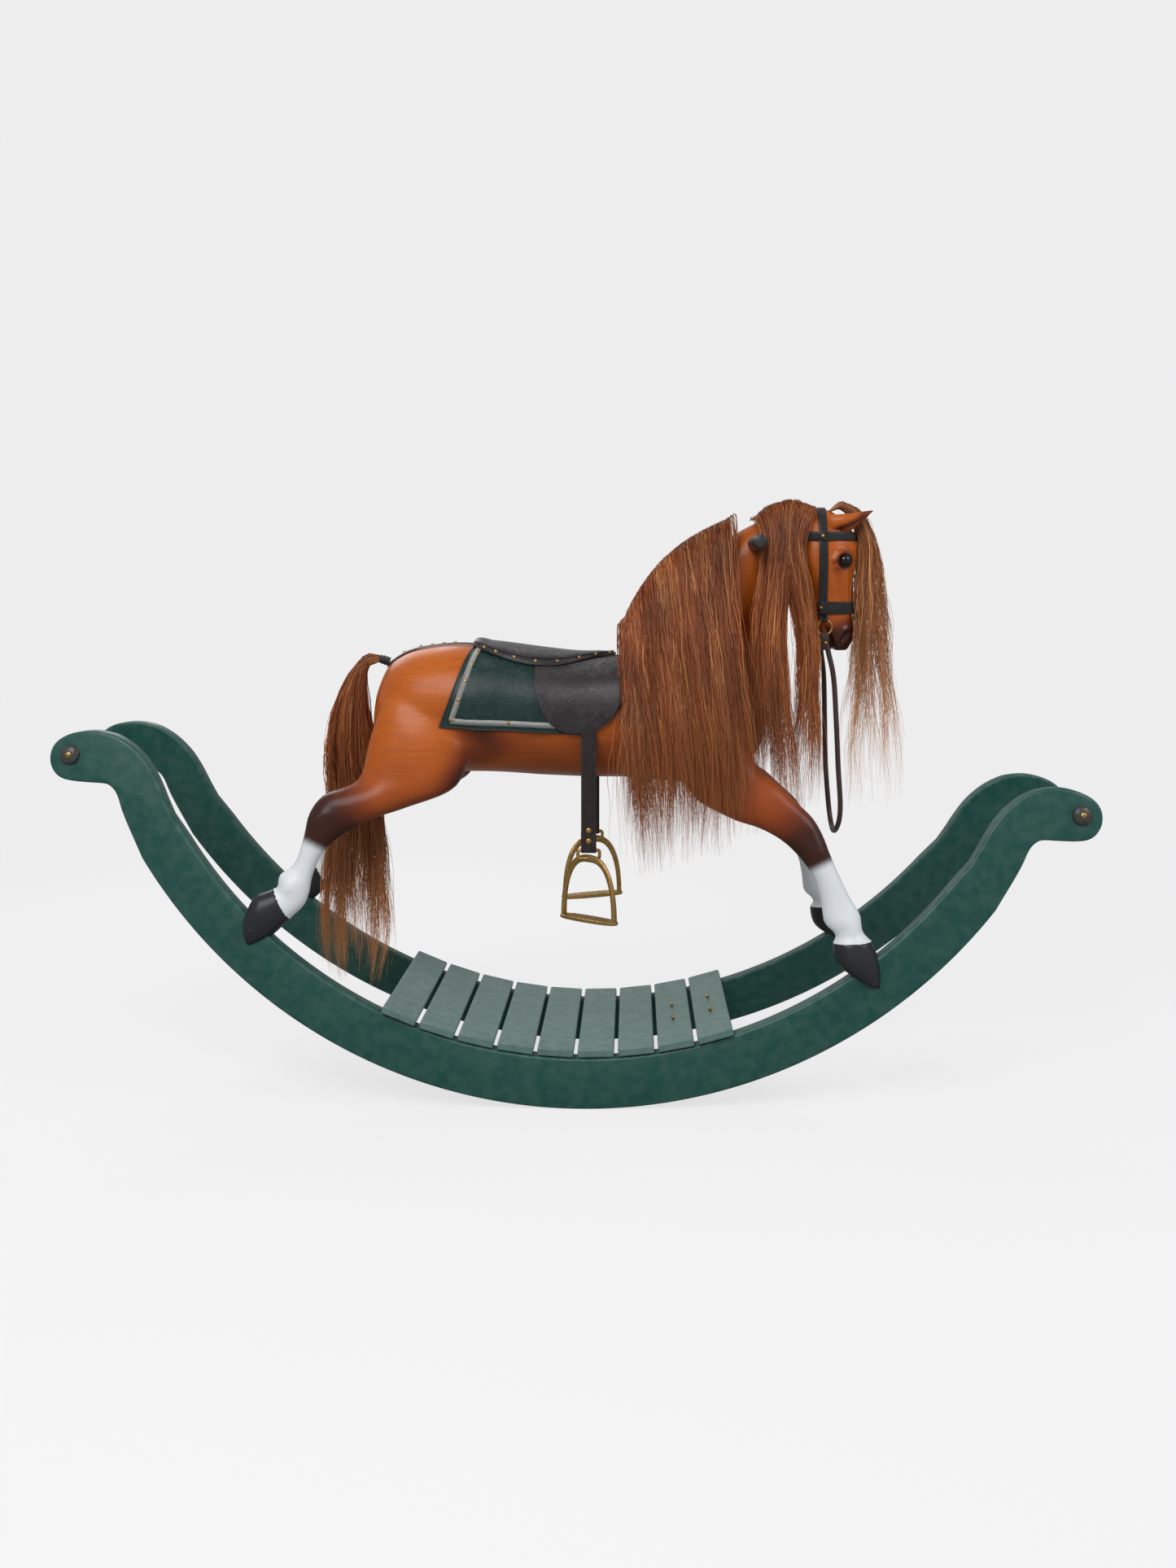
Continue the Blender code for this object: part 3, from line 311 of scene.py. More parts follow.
# Half of a bow's end, from the rolling edge round the scroll to the upper edge, measured from the
# middle of the bow's circle.
SCROLL = (
    (0.750, -0.469), (0.763, -0.443), (0.774, -0.416), (0.784, -0.404), (0.796, -0.3985),
    (0.825, -0.398), (0.853, -0.397), (0.872, -0.393), (0.885, -0.383), (0.893, -0.366),
    (0.892, -0.346), (0.881, -0.329), (0.857, -0.316), (0.822, -0.310), (0.790, -0.314),
    (0.770, -0.322), (0.746, -0.338), (0.722, -0.363), (0.704, -0.392), (0.690, -0.420),
    (0.677, -0.444),
)
BOW_FRAME = Matrix.Translation((FLOOR_X, 0, BOW_RADIUS)) @ Matrix.Rotation(NOSE_DOWN, 4, "Y")


def arc(radius, start, end, steps):
    points = []
    for i in range(steps + 1):
        angle = math.radians(start + (end - start) * i / steps)
        points.append((radius * math.sin(angle), -radius * math.cos(angle)))
    return points


def scroll_curve():
    """The scroll's outline with its corners eased."""
    points = [Vector((x, z, 0)) for x, z in SCROLL]
    return [(p.x, p.y) for p in flowing(points, 3)]


def painted_timber(name, colour, pale, rubbed_and_lit, rubbed_and_lit_share=0.5, roughness=0.42):
    """Satin paint over close grain: faint streaks, soft mottling, and edges paler, as worn paint and as a
    painted highlight.
    """
    finish, tree, shader, place = surface(name, roughness, coat=0.12, coat_roughness=0.25)
    shader.inputs["Specular IOR Level"].default_value = 0.34
    streaks = cloudy(tree, stretched(tree, place, 6.0, 90.0, 90.0), 4.0, 4.0)
    mottle = cloudy(tree, place, 7.0, 3.0)
    tone = mixed(tree, between(tree, mottle, 0.2, 0.85), colour, pale)
    tone = mixed(tree, between(tree, streaks, 0.45, 0.8, 0.0, 0.10), tone, pale)
    edge = tree.nodes.new("ShaderNodeAttribute")
    edge.attribute_name = "edge_wear_and_highlight"
    scuffs_and_highlight = sums(tree, "MULTIPLY", edge.outputs["Fac"],
                  between(tree, cloudy(tree, place, 55.0, 5.0), 0.3, 0.7))
    # Paler paint along the corners: partly worn paint, partly a painted highlight.
    tone = mixed(tree, sums(tree, "MULTIPLY", scuffs_and_highlight, rubbed_and_lit_share), tone, rubbed_and_lit)
    wire(tree, shader.inputs["Base Color"], tone)
    wire(tree, shader.inputs["Roughness"],
         between(tree, cloudy(tree, place, 30.0), 0.3, 0.7, roughness - 0.02, roughness + 0.03))
    coarse = relief(tree, shader, cloudy(tree, place, 18.0, 1.0), 0.00012)
    relief(tree, shader, streaks, 0.00018, coarse)
    return finish


def mark_worn_and_lit_edges(piece, reach=1):
    """Marks the points by the sharp corners, and fades the mark over the next few points."""
    mesh = piece.data
    bm = bmesh.new()
    bm.from_mesh(mesh)
    value = np.zeros(len(bm.verts))
    for e in bm.edges:
        if len(e.link_faces) == 2 and e.calc_face_angle(0) > math.radians(12):
            value[e.verts[0].index] = 1.0
            value[e.verts[1].index] = 1.0
    for _ in range(reach):
        spread = value.copy()
        for e in bm.edges:
            a, b = e.verts[0].index, e.verts[1].index
            spread[a] = max(spread[a], value[b] * 0.5)
            spread[b] = max(spread[b], value[a] * 0.5)
        value = spread
    bm.free()
    layer = mesh.attributes.new("edge_wear_and_highlight", "FLOAT", "POINT")
    layer.data.foreach_set("value", value.astype(np.float32))


def applied(piece):
    """The piece with its modifiers made permanent."""
    bpy.context.view_layer.update()
    evaluated = piece.evaluated_get(bpy.context.evaluated_depsgraph_get())
    mesh = bpy.data.meshes.new_from_object(evaluated)
    piece.modifiers.clear()
    piece.data = mesh
    return piece


def rounded(piece, width, segments=3, angle=50):
    """Rounds a piece's corners, as with a router, and makes the rounding permanent."""
    modifier = piece.modifiers.new("round_over", "BEVEL")
    modifier.width = width
    modifier.segments = segments
    modifier.limit_method = "ANGLE"
    modifier.angle_limit = math.radians(angle)
    modifier.harden_normals = False
    return applied(piece)


bow_green = painted_timber("dark_green_bow_paint", (0.006, 0.074, 0.059), (0.008, 0.080, 0.064),
                           (0.16, 0.24, 0.22), 0.3)
slope = math.tan(BOW_LEAN)
for label, side in SIDES:
    outline = arc(BOW_RADIUS, -55, 55, 150)[1:-1] + scroll_curve()
    outline += arc(BOW_INNER, 53.5, REBATE_ANGLE, 5)
    outline += arc(BOW_INNER, REBATE_ANGLE - 0.7, -REBATE_ANGLE + 0.7, 130)
    outline += arc(BOW_INNER, -REBATE_ANGLE, -53.5, 5)
    outline += [(-x, z) for x, z in reversed(scroll_curve())]
    bm = bmesh.new()
    face = bm.faces.new([bm.verts.new((x, -BOW_THICKNESS / 2, z)) for x, z in outline])
    grown = bmesh.ops.extrude_face_region(bm, geom=[face])
    for element in grown["geom"]:
        if isinstance(element, bmesh.types.BMVert):
            element.co.y = BOW_THICKNESS / 2
    for vertex in bm.verts:
        vertex.co.y = side * (vertex.co.y + HALF_STANCE - (vertex.co.z + BOW_RADIUS) * slope)
    bm.transform(BOW_FRAME)
    bmesh.ops.recalc_face_normals(bm, faces=bm.faces)
    bow = show("bow_" + label, bm, bow_green, stands_for=("rocker_" + label,))
    rounded(bow, 0.0055, 4)
    mark_worn_and_lit_edges(bow)
    bow.data.shade_smooth()
    bow.data.set_sharp_from_angle(angle=math.radians(28))

# ---- Platform ---------------------------------------------------------------------------------------
# Nine flat slats across the bows. Each is nailed at its ends, the heads are filled and painted over,
# and their paint, the bows' green made paler as painted sheen, is paler still at the corners as wear and
# highlight.
SLATS = 9
SLAT_PITCH = 0.0679
SLAT_WIDTH = 0.0608
SLAT_THICKNESS = 0.014
SLAT_LENGTH = 0.402
# The slats' green-grey is painted sheen: the bows' dark green made paler for the light their tops reflect.
slat_paint_with_painted_sheen = painted_timber("green_grey_slat_paint", (0.105, 0.200, 0.182), (0.110, 0.206, 0.188),
                            (0.24, 0.33, 0.31), 0.35, 0.36)
plug_paint = painted_timber("nail_filler_paint", (0.025, 0.060, 0.052), (0.04, 0.09, 0.08),
                            (0.1, 0.15, 0.14))
slat_radius = BOW_INNER - 0.0012 - SLAT_THICKNESS / 2
for index in range(SLATS):
    angle = (index - (SLATS - 1) / 2) * SLAT_PITCH / (BOW_INNER - SLAT_THICKNESS / 2)
    place_slat = (BOW_FRAME @ Matrix.Translation((slat_radius * math.sin(angle), 0,
                                                  -slat_radius * math.cos(angle)))
                  @ Matrix.Rotation(-angle, 4, "Y"))
    bm = bmesh.new()
    board = Matrix.Diagonal((SLAT_WIDTH, SLAT_LENGTH, SLAT_THICKNESS, 1.0))
    bmesh.ops.create_cube(bm, size=1.0, matrix=board)
    long_edges = [e for e in bm.edges if abs(e.verts[0].co.y - e.verts[1].co.y) > 0.1]
    bmesh.ops.subdivide_edges(bm, edges=long_edges, cuts=24, use_grid_fill=True)
    bm.transform(place_slat)
    name = f"slat_{index + 1}"
    slat = show("platform_" + name, bm, slat_paint_with_painted_sheen, stands_for=(name,))
    rounded(slat, 0.0026, 3)
    mark_worn_and_lit_edges(slat)
    bm = bmesh.new()
    for across in (-1, 1):
        for along in (-0.017, 0.017):
            spot = place_slat @ Matrix.Translation((along, across * 0.176, SLAT_THICKNESS / 2 - 0.0002))
            bmesh.ops.create_uvsphere(bm, u_segments=16, v_segments=8, radius=1.0,
                                      matrix=spot @ Matrix.Diagonal((0.0016, 0.0016, 0.0005, 1.0)))
    show(f"filled_nails_{index + 1}", bm, plug_paint)

# ---- End rails and bolts ------------------------------------------------------------------------------
# A turned rail joins the bows at each end. A black hammered dome with a small brass boss covers the
# bolt that pulls the rail tight from each side.
RAIL_RADIUS = 0.018
BOLT_ANGLE = math.radians(67.65)
BOLT_ARC = 0.928
BOLT_CAP = 0.017


def turned(bm, profile, at, along, count=48):
    """A turned form: (radius, height) points spun round an axis at a point, along a direction."""
    turn = Matrix.Translation(at) @ Vector((0, 0, 1)).rotation_difference(Vector(along)).to_matrix().to_4x4()
    rings = []
    for radius, height in profile:
        spots = []
        for i in range(count):
            a = 2 * math.pi * i / count
            spots.append(bm.verts.new(turn @ Vector((radius * math.cos(a), radius * math.sin(a), height))))
        rings.append(spots)
    for low, high in zip(rings, rings[1:]):
        for i in range(count):
            j = (i + 1) % count
            bm.faces.new((low[i], low[j], high[j], high[i]))
    bm.faces.new(list(reversed(rings[0])))
    bm.faces.new(rings[-1])


def bright_brass(name, tarnish=0.5, roughness=0.26):
    """Polished brass with brown tarnish in clouds and a few fine scratches."""
    finish, tree, shader, place = surface(name, roughness, metallic=1.0)
    clouds = cloudy(tree, place, 120.0, 5.0)
    tone = mixed(tree, between(tree, clouds, 0.35, 0.75, 0.0, tarnish), (0.56, 0.35, 0.12),
                 (0.22, 0.12, 0.04))
    wire(tree, shader.inputs["Base Color"], tone)
    wire(tree, shader.inputs["Roughness"], between(tree, clouds, 0.3, 0.7, roughness, roughness + 0.2))
    scratches = cloudy(tree, stretched(tree, place, 1.0, 1.0, 14.0), 260.0, 2.0)
    relief(tree, shader, scratches, 0.00008)
    return finish


brass = bright_brass("aged_brass")
hammered, tree, shader, place = surface("hammered_black_iron", 0.3, coat=0.4, coat_roughness=0.2)
dents = cells(tree, place, 330.0)
two_toned(tree, shader, dents, 0.1, 0.6, (0.012, 0.011, 0.010), (0.05, 0.046, 0.042))
relief(tree, shader, between(tree, dents, 0.0, 0.65), 0.0009)
for end_label, end in (("front", 1), ("rear", -1)):
    x, z = end * BOLT_ARC * math.sin(BOLT_ANGLE), -BOLT_ARC * math.cos(BOLT_ANGLE)
    face_y = HALF_STANCE - (z + BOW_RADIUS) * slope - BOW_THICKNESS / 2
    bm = bmesh.new()
    swell = ((-1.0, 0.86), (-0.97, 0.9), (-0.94, 1.0), (-0.9, 1.0), (-0.88, 0.93), (-0.85, 0.93),
             (-0.82, 0.99),
             (-0.4, 1.0), (0.0, 1.0))
    swell = swell + tuple((-along, radius) for along, radius in reversed(swell[:-1]))
    turned(bm, [(RAIL_RADIUS * r, along * face_y) for along, r in swell], (x, 0, z), (0, 1, 0), 48)
    bm.transform(BOW_FRAME)
    rail = show("turned_rail_" + end_label, bm, bow_green,
                stands_for=("end_rail_" + end_label,))
    mark_worn_and_lit_edges(rail)
    for label, side in SIDES:
        outward = Vector((0.0, side * math.cos(BOW_LEAN), math.sin(BOW_LEAN)))
        seat = Vector((x, side * (face_y + BOW_THICKNESS), z)) + outward * 0.0004
        dome = [(BOLT_CAP, 0.0), (BOLT_CAP, 0.0012)]
        dome += [(BOLT_CAP * 0.98 * math.cos(a), 0.0016 + 0.0072 * math.sin(a))
                 for a in (math.radians(6 + 10 * i) for i in range(8))]
        bm = bmesh.new()
        turned(bm, dome, seat, outward, 40)
        bm.transform(BOW_FRAME)
        show(f"bolt_dome_{end_label}_{label}", bm, hammered,
             stands_for=(f"end_bolt_{end_label}_{label}",))
        bm = bmesh.new()
        turned(bm, ((0.0052, 0.0078), (0.0052, 0.0090), (0.0044, 0.0096), (0.0030, 0.0102),
                    (0.0012, 0.0104)),
               seat, outward, 6)
        bm.transform(BOW_FRAME)
        show(f"bolt_boss_{end_label}_{label}", bm, brass, smooth=20)

# ---- Carved horse -----------------------------------------------------------------------------------
# The coat also carries painted light: a highlight along the top, painted shade low down and in the hollows.
# Body, neck, legs and head are carved from glued-up boards of tulipwood, faired into one skin and
# airbrushed: chestnut body, dark knees and hocks, white socks and black hooves, under satin varnish.
# Sections run across each form: (x, z) at the back, (x, z) at the front, y of the middle, half width.
BODY = (
    ((-0.359, 0.610), (-0.352, 0.692), 0.0, 0.042),
    ((-0.351, 0.575), (-0.331, 0.736), 0.0, 0.074),
    ((-0.312, 0.560), (-0.296, 0.759), 0.0, 0.096),
    ((-0.270, 0.552), (-0.255, 0.768), 0.0, 0.106),
    ((-0.210, 0.548), (-0.205, 0.772), 0.0, 0.110),
    ((-0.140, 0.547), (-0.140, 0.767), 0.0, 0.108),
    ((-0.060, 0.542), (-0.060, 0.757), 0.0, 0.105),
    ((0.020, 0.539), (0.020, 0.751), 0.0, 0.104),
    ((0.100, 0.538), (0.100, 0.756), 0.0, 0.105),
    ((0.170, 0.530), (0.170, 0.766), 0.0, 0.103),
    ((0.235, 0.533), (0.235, 0.764), 0.0, 0.097),
    ((0.285, 0.550), (0.285, 0.745), 0.0, 0.082),
    ((0.315, 0.585), (0.318, 0.715), 0.0, 0.058),
    ((0.328, 0.625), (0.329, 0.680), 0.0, 0.028),
)
NECK = (
    ((0.110, 0.665), (0.298, 0.650), 0.0, 0.060),
    ((0.110, 0.715), (0.306, 0.674), 0.0, 0.070),
    ((0.095, 0.770), (0.320, 0.715), 0.0, 0.074),
    ((0.135, 0.845), (0.326, 0.775), 0.0, 0.062),
    ((0.190, 0.900), (0.334, 0.835), 0.0, 0.052),
    ((0.245, 0.945), (0.350, 0.885), 0.0, 0.046),
    ((0.305, 0.980), (0.378, 0.915), 0.0, 0.042),
    ((0.365, 1.000), (0.412, 0.935), 0.0, 0.040),
    ((0.400, 1.000), (0.440, 0.950), 0.0, 0.034),
)
HEAD = (
    ((0.388, 1.003), (0.436, 1.004), 0.0, 0.016),
    ((0.372, 0.985), (0.460, 0.987), 0.0, 0.034),
    ((0.368, 0.958), (0.4815, 0.960), 0.0, 0.043),
    ((0.370, 0.930), (0.487, 0.930), 0.0, 0.048),
    ((0.378, 0.905), (0.4835, 0.910), 0.0, 0.046),
    ((0.390, 0.880), (0.4796, 0.885), 0.0, 0.040),
    ((0.398, 0.850), (0.4790, 0.855), 0.0, 0.032),
    ((0.404, 0.820), (0.4800, 0.825), 0.0, 0.029),
    ((0.405, 0.795), (0.4830, 0.802), 0.0, 0.029),
    ((0.408, 0.776), (0.4815, 0.781), 0.0, 0.026),
    ((0.424, 0.7620), (0.472, 0.7620), 0.0, 0.016),
)
HIND_LEG = (
    ((-0.310, 0.705), (-0.240, 0.695), 0.055, 0.022),
    ((-0.333, 0.675), (-0.215, 0.655), 0.074, 0.030),
    ((-0.353, 0.620), (-0.182, 0.600), 0.085, 0.037),
    ((-0.371, 0.552), (-0.205, 0.530), 0.095, 0.037),
    ((-0.398, 0.531), (-0.290, 0.4945), 0.108, 0.031),
    ((-0.430, 0.519), (-0.350, 0.475), 0.119, 0.027),
    ((-0.4525, 0.490), (-0.4062, 0.4437), 0.129, 0.022),
    ((-0.4620, 0.447), (-0.4334, 0.414), 0.136, 0.0185),
    ((-0.4771, 0.4035), (-0.4467, 0.3815), 0.143, 0.0175),
    ((-0.5010, 0.385), (-0.4520, 0.3525), 0.149, 0.0205),
    ((-0.5050, 0.364), (-0.4620, 0.3304), 0.152, 0.020),
    ((-0.5200, 0.357), (-0.4890, 0.306), 0.157, 0.0235),
    ((-0.5423, 0.347), (-0.5191, 0.280), 0.162, 0.026),
    ((-0.5590, 0.310), (-0.5530, 0.264), 0.164, 0.022),
)
FORE_LEG = (
    ((0.180, 0.690), (0.300, 0.690), 0.062, 0.028),
    ((0.172, 0.640), (0.304, 0.650), 0.074, 0.032),
    ((0.170, 0.585), (0.306, 0.600), 0.082, 0.035),
    ((0.200, 0.515), (0.312, 0.562), 0.092, 0.034),
    ((0.2665, 0.4775), (0.345, 0.538), 0.105, 0.029),
    ((0.3105, 0.4639), (0.3745, 0.510), 0.114, 0.025),
    ((0.3464, 0.446), (0.402, 0.484), 0.121, 0.0225),
    ((0.3714, 0.4252), (0.4185, 0.456), 0.127, 0.0195),
    ((0.3924, 0.4002), (0.430, 0.426), 0.132, 0.0185),
    ((0.4080, 0.3737), (0.4455, 0.390), 0.137, 0.0175),
    ((0.4169, 0.3373), (0.4650, 0.350), 0.143, 0.0175),
    ((0.4215, 0.308), (0.4815, 0.322), 0.148, 0.0195),
    ((0.4400, 0.288), (0.4860, 0.294), 0.152, 0.020),
    ((0.4367, 0.270), (0.5000, 0.277), 0.157, 0.0245),
    ((0.4470, 0.238), (0.5120, 0.240), 0.163, 0.027),
    ((0.4800, 0.216), (0.5150, 0.200), 0.166, 0.022),
)
WOOD_VOXEL = 0.0037
HEAD_START = (0.355, 0.755)


def finer(sections, steps):
    """The same sections with more between them, on a smooth curve."""
    flat = [Vector((*s[0], *s[1])).to_4d() for s in sections]
    sides = [Vector((s[2], s[3])) for s in sections]
    result = []
    for i in range(len(sections) - 1):
        before, after = max(i - 1, 0), min(i + 2, len(sections) - 1)
        for k in range(steps):
            t = k / steps
            rows = []
            for values in (flat, sides):
                a, b, c, d = values[before], values[i], values[i + 1], values[after]
                rows.append(0.5 * (2 * b + (c - a) * t + (2 * a - 5 * b + 4 * c - d) * t * t
                                   + (3 * b - a - 3 * c + d) * t ** 3))
            result.append(((rows[0][0], rows[0][1]), (rows[0][2], rows[0][3]), rows[1][0], rows[1][1]))
    return result + [sections[-1]]


def skin_over(bm, sections, side=1, count=40, steps=5, squareness=2.1):
    """A closed form over oval sections; side mirrors it across the middle plane."""
    rings = []
    for back, front, y, half in finer(sections, steps):
        centre = Vector(((back[0] + front[0]) / 2, y * side, (back[1] + front[1]) / 2))
        along = Vector(((front[0] - back[0]) / 2, 0.0, (front[1] - back[1]) / 2))
        spots = []
        for i in range(count):
            a = 2 * math.pi * i / count
            c = math.copysign(abs(math.cos(a)) ** (2 / squareness), math.cos(a))
            s = math.copysign(abs(math.sin(a)) ** (2 / squareness), math.sin(a))
            spots.append(bm.verts.new(centre + along * c + Vector((0.0, half * s, 0.0))))
        rings.append(spots)
    faces = [bm.faces.new(rings[0]), bm.faces.new(rings[-1])]
    for low, high in zip(rings, rings[1:]):
        for i in range(count):
            j = (i + 1) % count
            faces.append(bm.faces.new((low[i], low[j], high[j], high[i])))
    bmesh.ops.recalc_face_normals(bm, faces=faces)


def points_of(mesh):
    values = np.zeros(len(mesh.vertices) * 3)
    mesh.vertices.foreach_get("co", values)
    return values.reshape(-1, 3)


def normals_of(mesh):
    values = np.zeros(len(mesh.vertices) * 3, np.float32)
    mesh.vertex_normals.foreach_get("vector", values)
    return values.reshape(-1, 3).astype(float)


def faired(mesh, weight, rounds, push=-0.53):
    """Evens a surface out by pulling each point to its neighbours and, with push, back again."""
    pairs = np.zeros(len(mesh.edges) * 2, np.int32)
    mesh.edges.foreach_get("vertices", pairs)
    pairs = pairs.reshape(-1, 2)
    points = points_of(mesh)
    count = np.bincount(pairs.ravel(), minlength=len(points)).astype(float)
    for step in range(rounds):
        pull = 0.5 if push == 0 or step % 2 == 0 else push
        total = np.zeros_like(points)
        for axis in range(3):
            total[:, axis] = (np.bincount(pairs[:, 0], points[pairs[:, 1], axis], len(points))
                              + np.bincount(pairs[:, 1], points[pairs[:, 0], axis], len(points)))
        points += (total / count[:, None] - points) * (pull * weight)[:, None]
    mesh.vertices.foreach_set("co", points.ravel())
    mesh.update()


def distance_to(points, path):
    """Distance from each point to a line of points, and how far along it the nearest spot is."""
    best = np.full(len(points), 9.0)
    along = np.zeros(len(points))
    travelled = 0.0
    for a, b in zip(path, path[1:]):
        a, b = np.array(a, float), np.array(b, float)
        step = b - a
        length = np.linalg.norm(step)
        share = np.clip((points - a) @ step / length ** 2, 0, 1)
        gap = np.linalg.norm(points - a - share[:, None] * step, axis=1)
        nearer = gap < best
        best[nearer] = gap[nearer]
        along[nearer] = travelled + share[nearer] * length
        travelled += length
    return best, along


def soft(distance, reach):
    return np.exp(-(distance / reach) ** 2)


# Chisel strokes: a line (x, |y|, z) on one side, its reach, and its depth; a negative depth is a swelling.
HEAD_STROKES = (
    (((0.461, 0.040, 0.9165), (0.4612, 0.040, 0.9165)), 0.0160, 0.0062),
    (((0.441, 0.044, 0.917), (0.449, 0.046, 0.9285), (0.462, 0.044, 0.9315), (0.476, 0.036, 0.927)),
     0.0052, -0.0070),
    (((0.446, 0.044, 0.906), (0.456, 0.043, 0.9020), (0.469, 0.040, 0.905)), 0.0042, -0.0022),
    (((0.445, 0.042, 0.893), (0.455, 0.036, 0.870), (0.462, 0.030, 0.840)), 0.0085, 0.0030),
    (((0.466, 0.034, 0.895), (0.468, 0.026, 0.860), (0.470, 0.022, 0.825)), 0.0070, -0.0022),
    (((0.398, 0.040, 0.900), (0.404, 0.040, 0.888)), 0.0240, -0.0050),
    (((0.384, 0.046, 0.925), (0.388, 0.044, 0.890), (0.402, 0.036, 0.862), (0.420, 0.030, 0.850)),
     0.0055, 0.0018),
    (((0.4625, 0.026, 0.7800), (0.4690, 0.025, 0.7900)), 0.0052, 0.0075),
    (((0.4560, 0.029, 0.7820), (0.4620, 0.028, 0.7965), (0.4740, 0.023, 0.7990)), 0.0050, -0.0035),
    (((0.4470, 0.000, 0.7580), (0.4440, 0.018, 0.7620), (0.4410, 0.026, 0.7740), (0.4370, 0.029, 0.7860),
      (0.4300, 0.030, 0.8000)), 0.0040, 0.0075),
    (((0.4560, 0.020, 0.7640), (0.4490, 0.028, 0.7780)), 0.0060, -0.0016),
    (((0.470, 0.000, 0.945), (0.476, 0.000, 0.880), (0.474, 0.000, 0.820)), 0.0120, -0.0012),
)
BODY_STROKES = (
    (((-0.185, 0.100, 0.630), (-0.165, 0.105, 0.600), (-0.175, 0.105, 0.555)), 0.0180, 0.0045),
    (((0.165, 0.098, 0.640), (0.155, 0.098, 0.590), (0.175, 0.098, 0.530)), 0.0180, 0.0040),
    (((0.000, 0.000, 0.752), (0.080, 0.000, 0.757)), 0.0500, 0.0015),
    (((-0.3750, 0.110, 0.548), (-0.360, 0.120, 0.535)), 0.0200, 0.0020),
    (((-0.425, 0.142, 0.487), (-0.448, 0.150, 0.470)), 0.0100, -0.0020),
    (((-0.470, 0.160, 0.372), (-0.486, 0.170, 0.362)), 0.0090, -0.0022),
    (((0.398, 0.140, 0.437), (0.410, 0.145, 0.425)), 0.0110, -0.0020),
    (((0.455, 0.165, 0.312), (0.468, 0.170, 0.300)), 0.0100, -0.0022),
    (((0.300, 0.030, 0.700), (0.322, 0.012, 0.650), (0.312, 0.012, 0.600)), 0.0160, -0.0030),
    (((0.318, 0.000, 0.690), (0.325, 0.000, 0.640), (0.314, 0.000, 0.590)), 0.0060, 0.0030),
)


def carve(mesh, strokes):
    points, outward = points_of(mesh), normals_of(mesh)
    mirrored = points * (1, 0, 1) + np.abs(points) * (0, 1, 0)
    shift = np.zeros(len(points))
    for path, reach, depth in strokes:
        gap, _ = distance_to(mirrored, path)
        shift -= depth * soft(gap, reach)
    mesh.vertices.foreach_set("co", (points + outward * shift[:, None]).ravel())
    mesh.update()


bm = bmesh.new()
skin_over(bm, BODY, count=64, steps=6, squareness=2.15)
skin_over(bm, NECK, count=56, steps=6)
skin_over(bm, HEAD, count=56, steps=6, squareness=2.0)
for label, side in SIDES:
    skin_over(bm, HIND_LEG, side, 40, 6)
    skin_over(bm, FORE_LEG, side, 40, 6)
horse_mesh = bpy.data.meshes.new("carved_horse")
bm.to_mesh(horse_mesh)
bm.free()
horse = bpy.data.objects.new("carved_horse", horse_mesh)
bpy.context.scene.collection.objects.link(horse)
joined = horse.modifiers.new("joined_skin", "REMESH")
joined.mode = "VOXEL"
joined.voxel_size = WOOD_VOXEL
applied(horse)
points = points_of(horse.data)
in_head = (points[:, 0] > HEAD_START[0]) & (points[:, 2] > HEAD_START[1])
low_leg = np.clip((0.50 - points[:, 2]) / 0.06, 0, 1)
faired(horse.data, np.where(in_head, 0.25, 1 - 0.8 * low_leg), 14, 0)
faired(horse.data, np.full(len(points), 1.0), 8)

bm = bmesh.new()
bm.from_mesh(horse.data)
head_edges = [e for e in bm.edges if min(v.co.x for v in e.verts) > HEAD_START[0]
              and min(v.co.z for v in e.verts) > HEAD_START[1]]
bmesh.ops.subdivide_edges(bm, edges=head_edges, cuts=1, use_grid_fill=True)
bmesh.ops.triangulate(bm, faces=[f for f in bm.faces if len(f.verts) > 4])
bm.to_mesh(horse.data)
bm.free()
points = points_of(horse.data)
in_head = (points[:, 0] > HEAD_START[0] + 0.005) & (points[:, 2] > HEAD_START[1])
faired(horse.data, in_head * 1.0, 4)
carve(horse.data, BODY_STROKES)
carve(horse.data, HEAD_STROKES)
faired(horse.data, in_head * 1.0, 2)

# Where each coat of paint and the painted shade lie, from 0 to 1.
points = points_of(horse.data)
side_points = points * (1, 0, 1) + np.abs(points) * (0, 1, 0)


def leg_path(sections):
    return [((b[0] + f[0]) / 2, y, (b[1] + f[1]) / 2) for b, f, y, _ in sections]


hind_gap, hind_along = distance_to(side_points, leg_path(HIND_LEG))
fore_gap, fore_along = distance_to(side_points, leg_path(FORE_LEG))
on_hind = (points[:, 0] < -0.15) & (hind_gap < 0.12)
on_fore = (points[:, 0] > 0.12) & (points[:, 2] < 0.62) & (fore_gap < 0.12)


def path_length(sections, index):
    path = [Vector(p) for p in leg_path(sections)[:index + 1]]
    return sum((b - a).length for a, b in zip(path, path[1:]))


def ramp(values, low, high):
    share = np.clip((values - low) / (high - low), 0, 1)
    return share * share * (3 - 2 * share)


sock = np.zeros(len(points))
hoof = np.zeros(len(points))
dark = np.zeros(len(points))
for on, along, sections, knee, sock_at in ((on_hind, hind_along, HIND_LEG, 3.5, 6.95),
                                           (on_fore, fore_along, FORE_LEG, 4.2, 8.40)):
    def at(place, sections=sections):
        whole = int(place)
        low, high = path_length(sections, whole), path_length(sections, min(whole + 1, len(sections) - 1))
        return low + (high - low) * (place - whole)
    dark[on] = np.maximum(dark[on], ramp(along[on], at(knee), at(sock_at - 1.1)))
    sock[on] = np.maximum(sock[on], ramp(along[on], at(sock_at) - 0.020, at(sock_at) + 0.014))
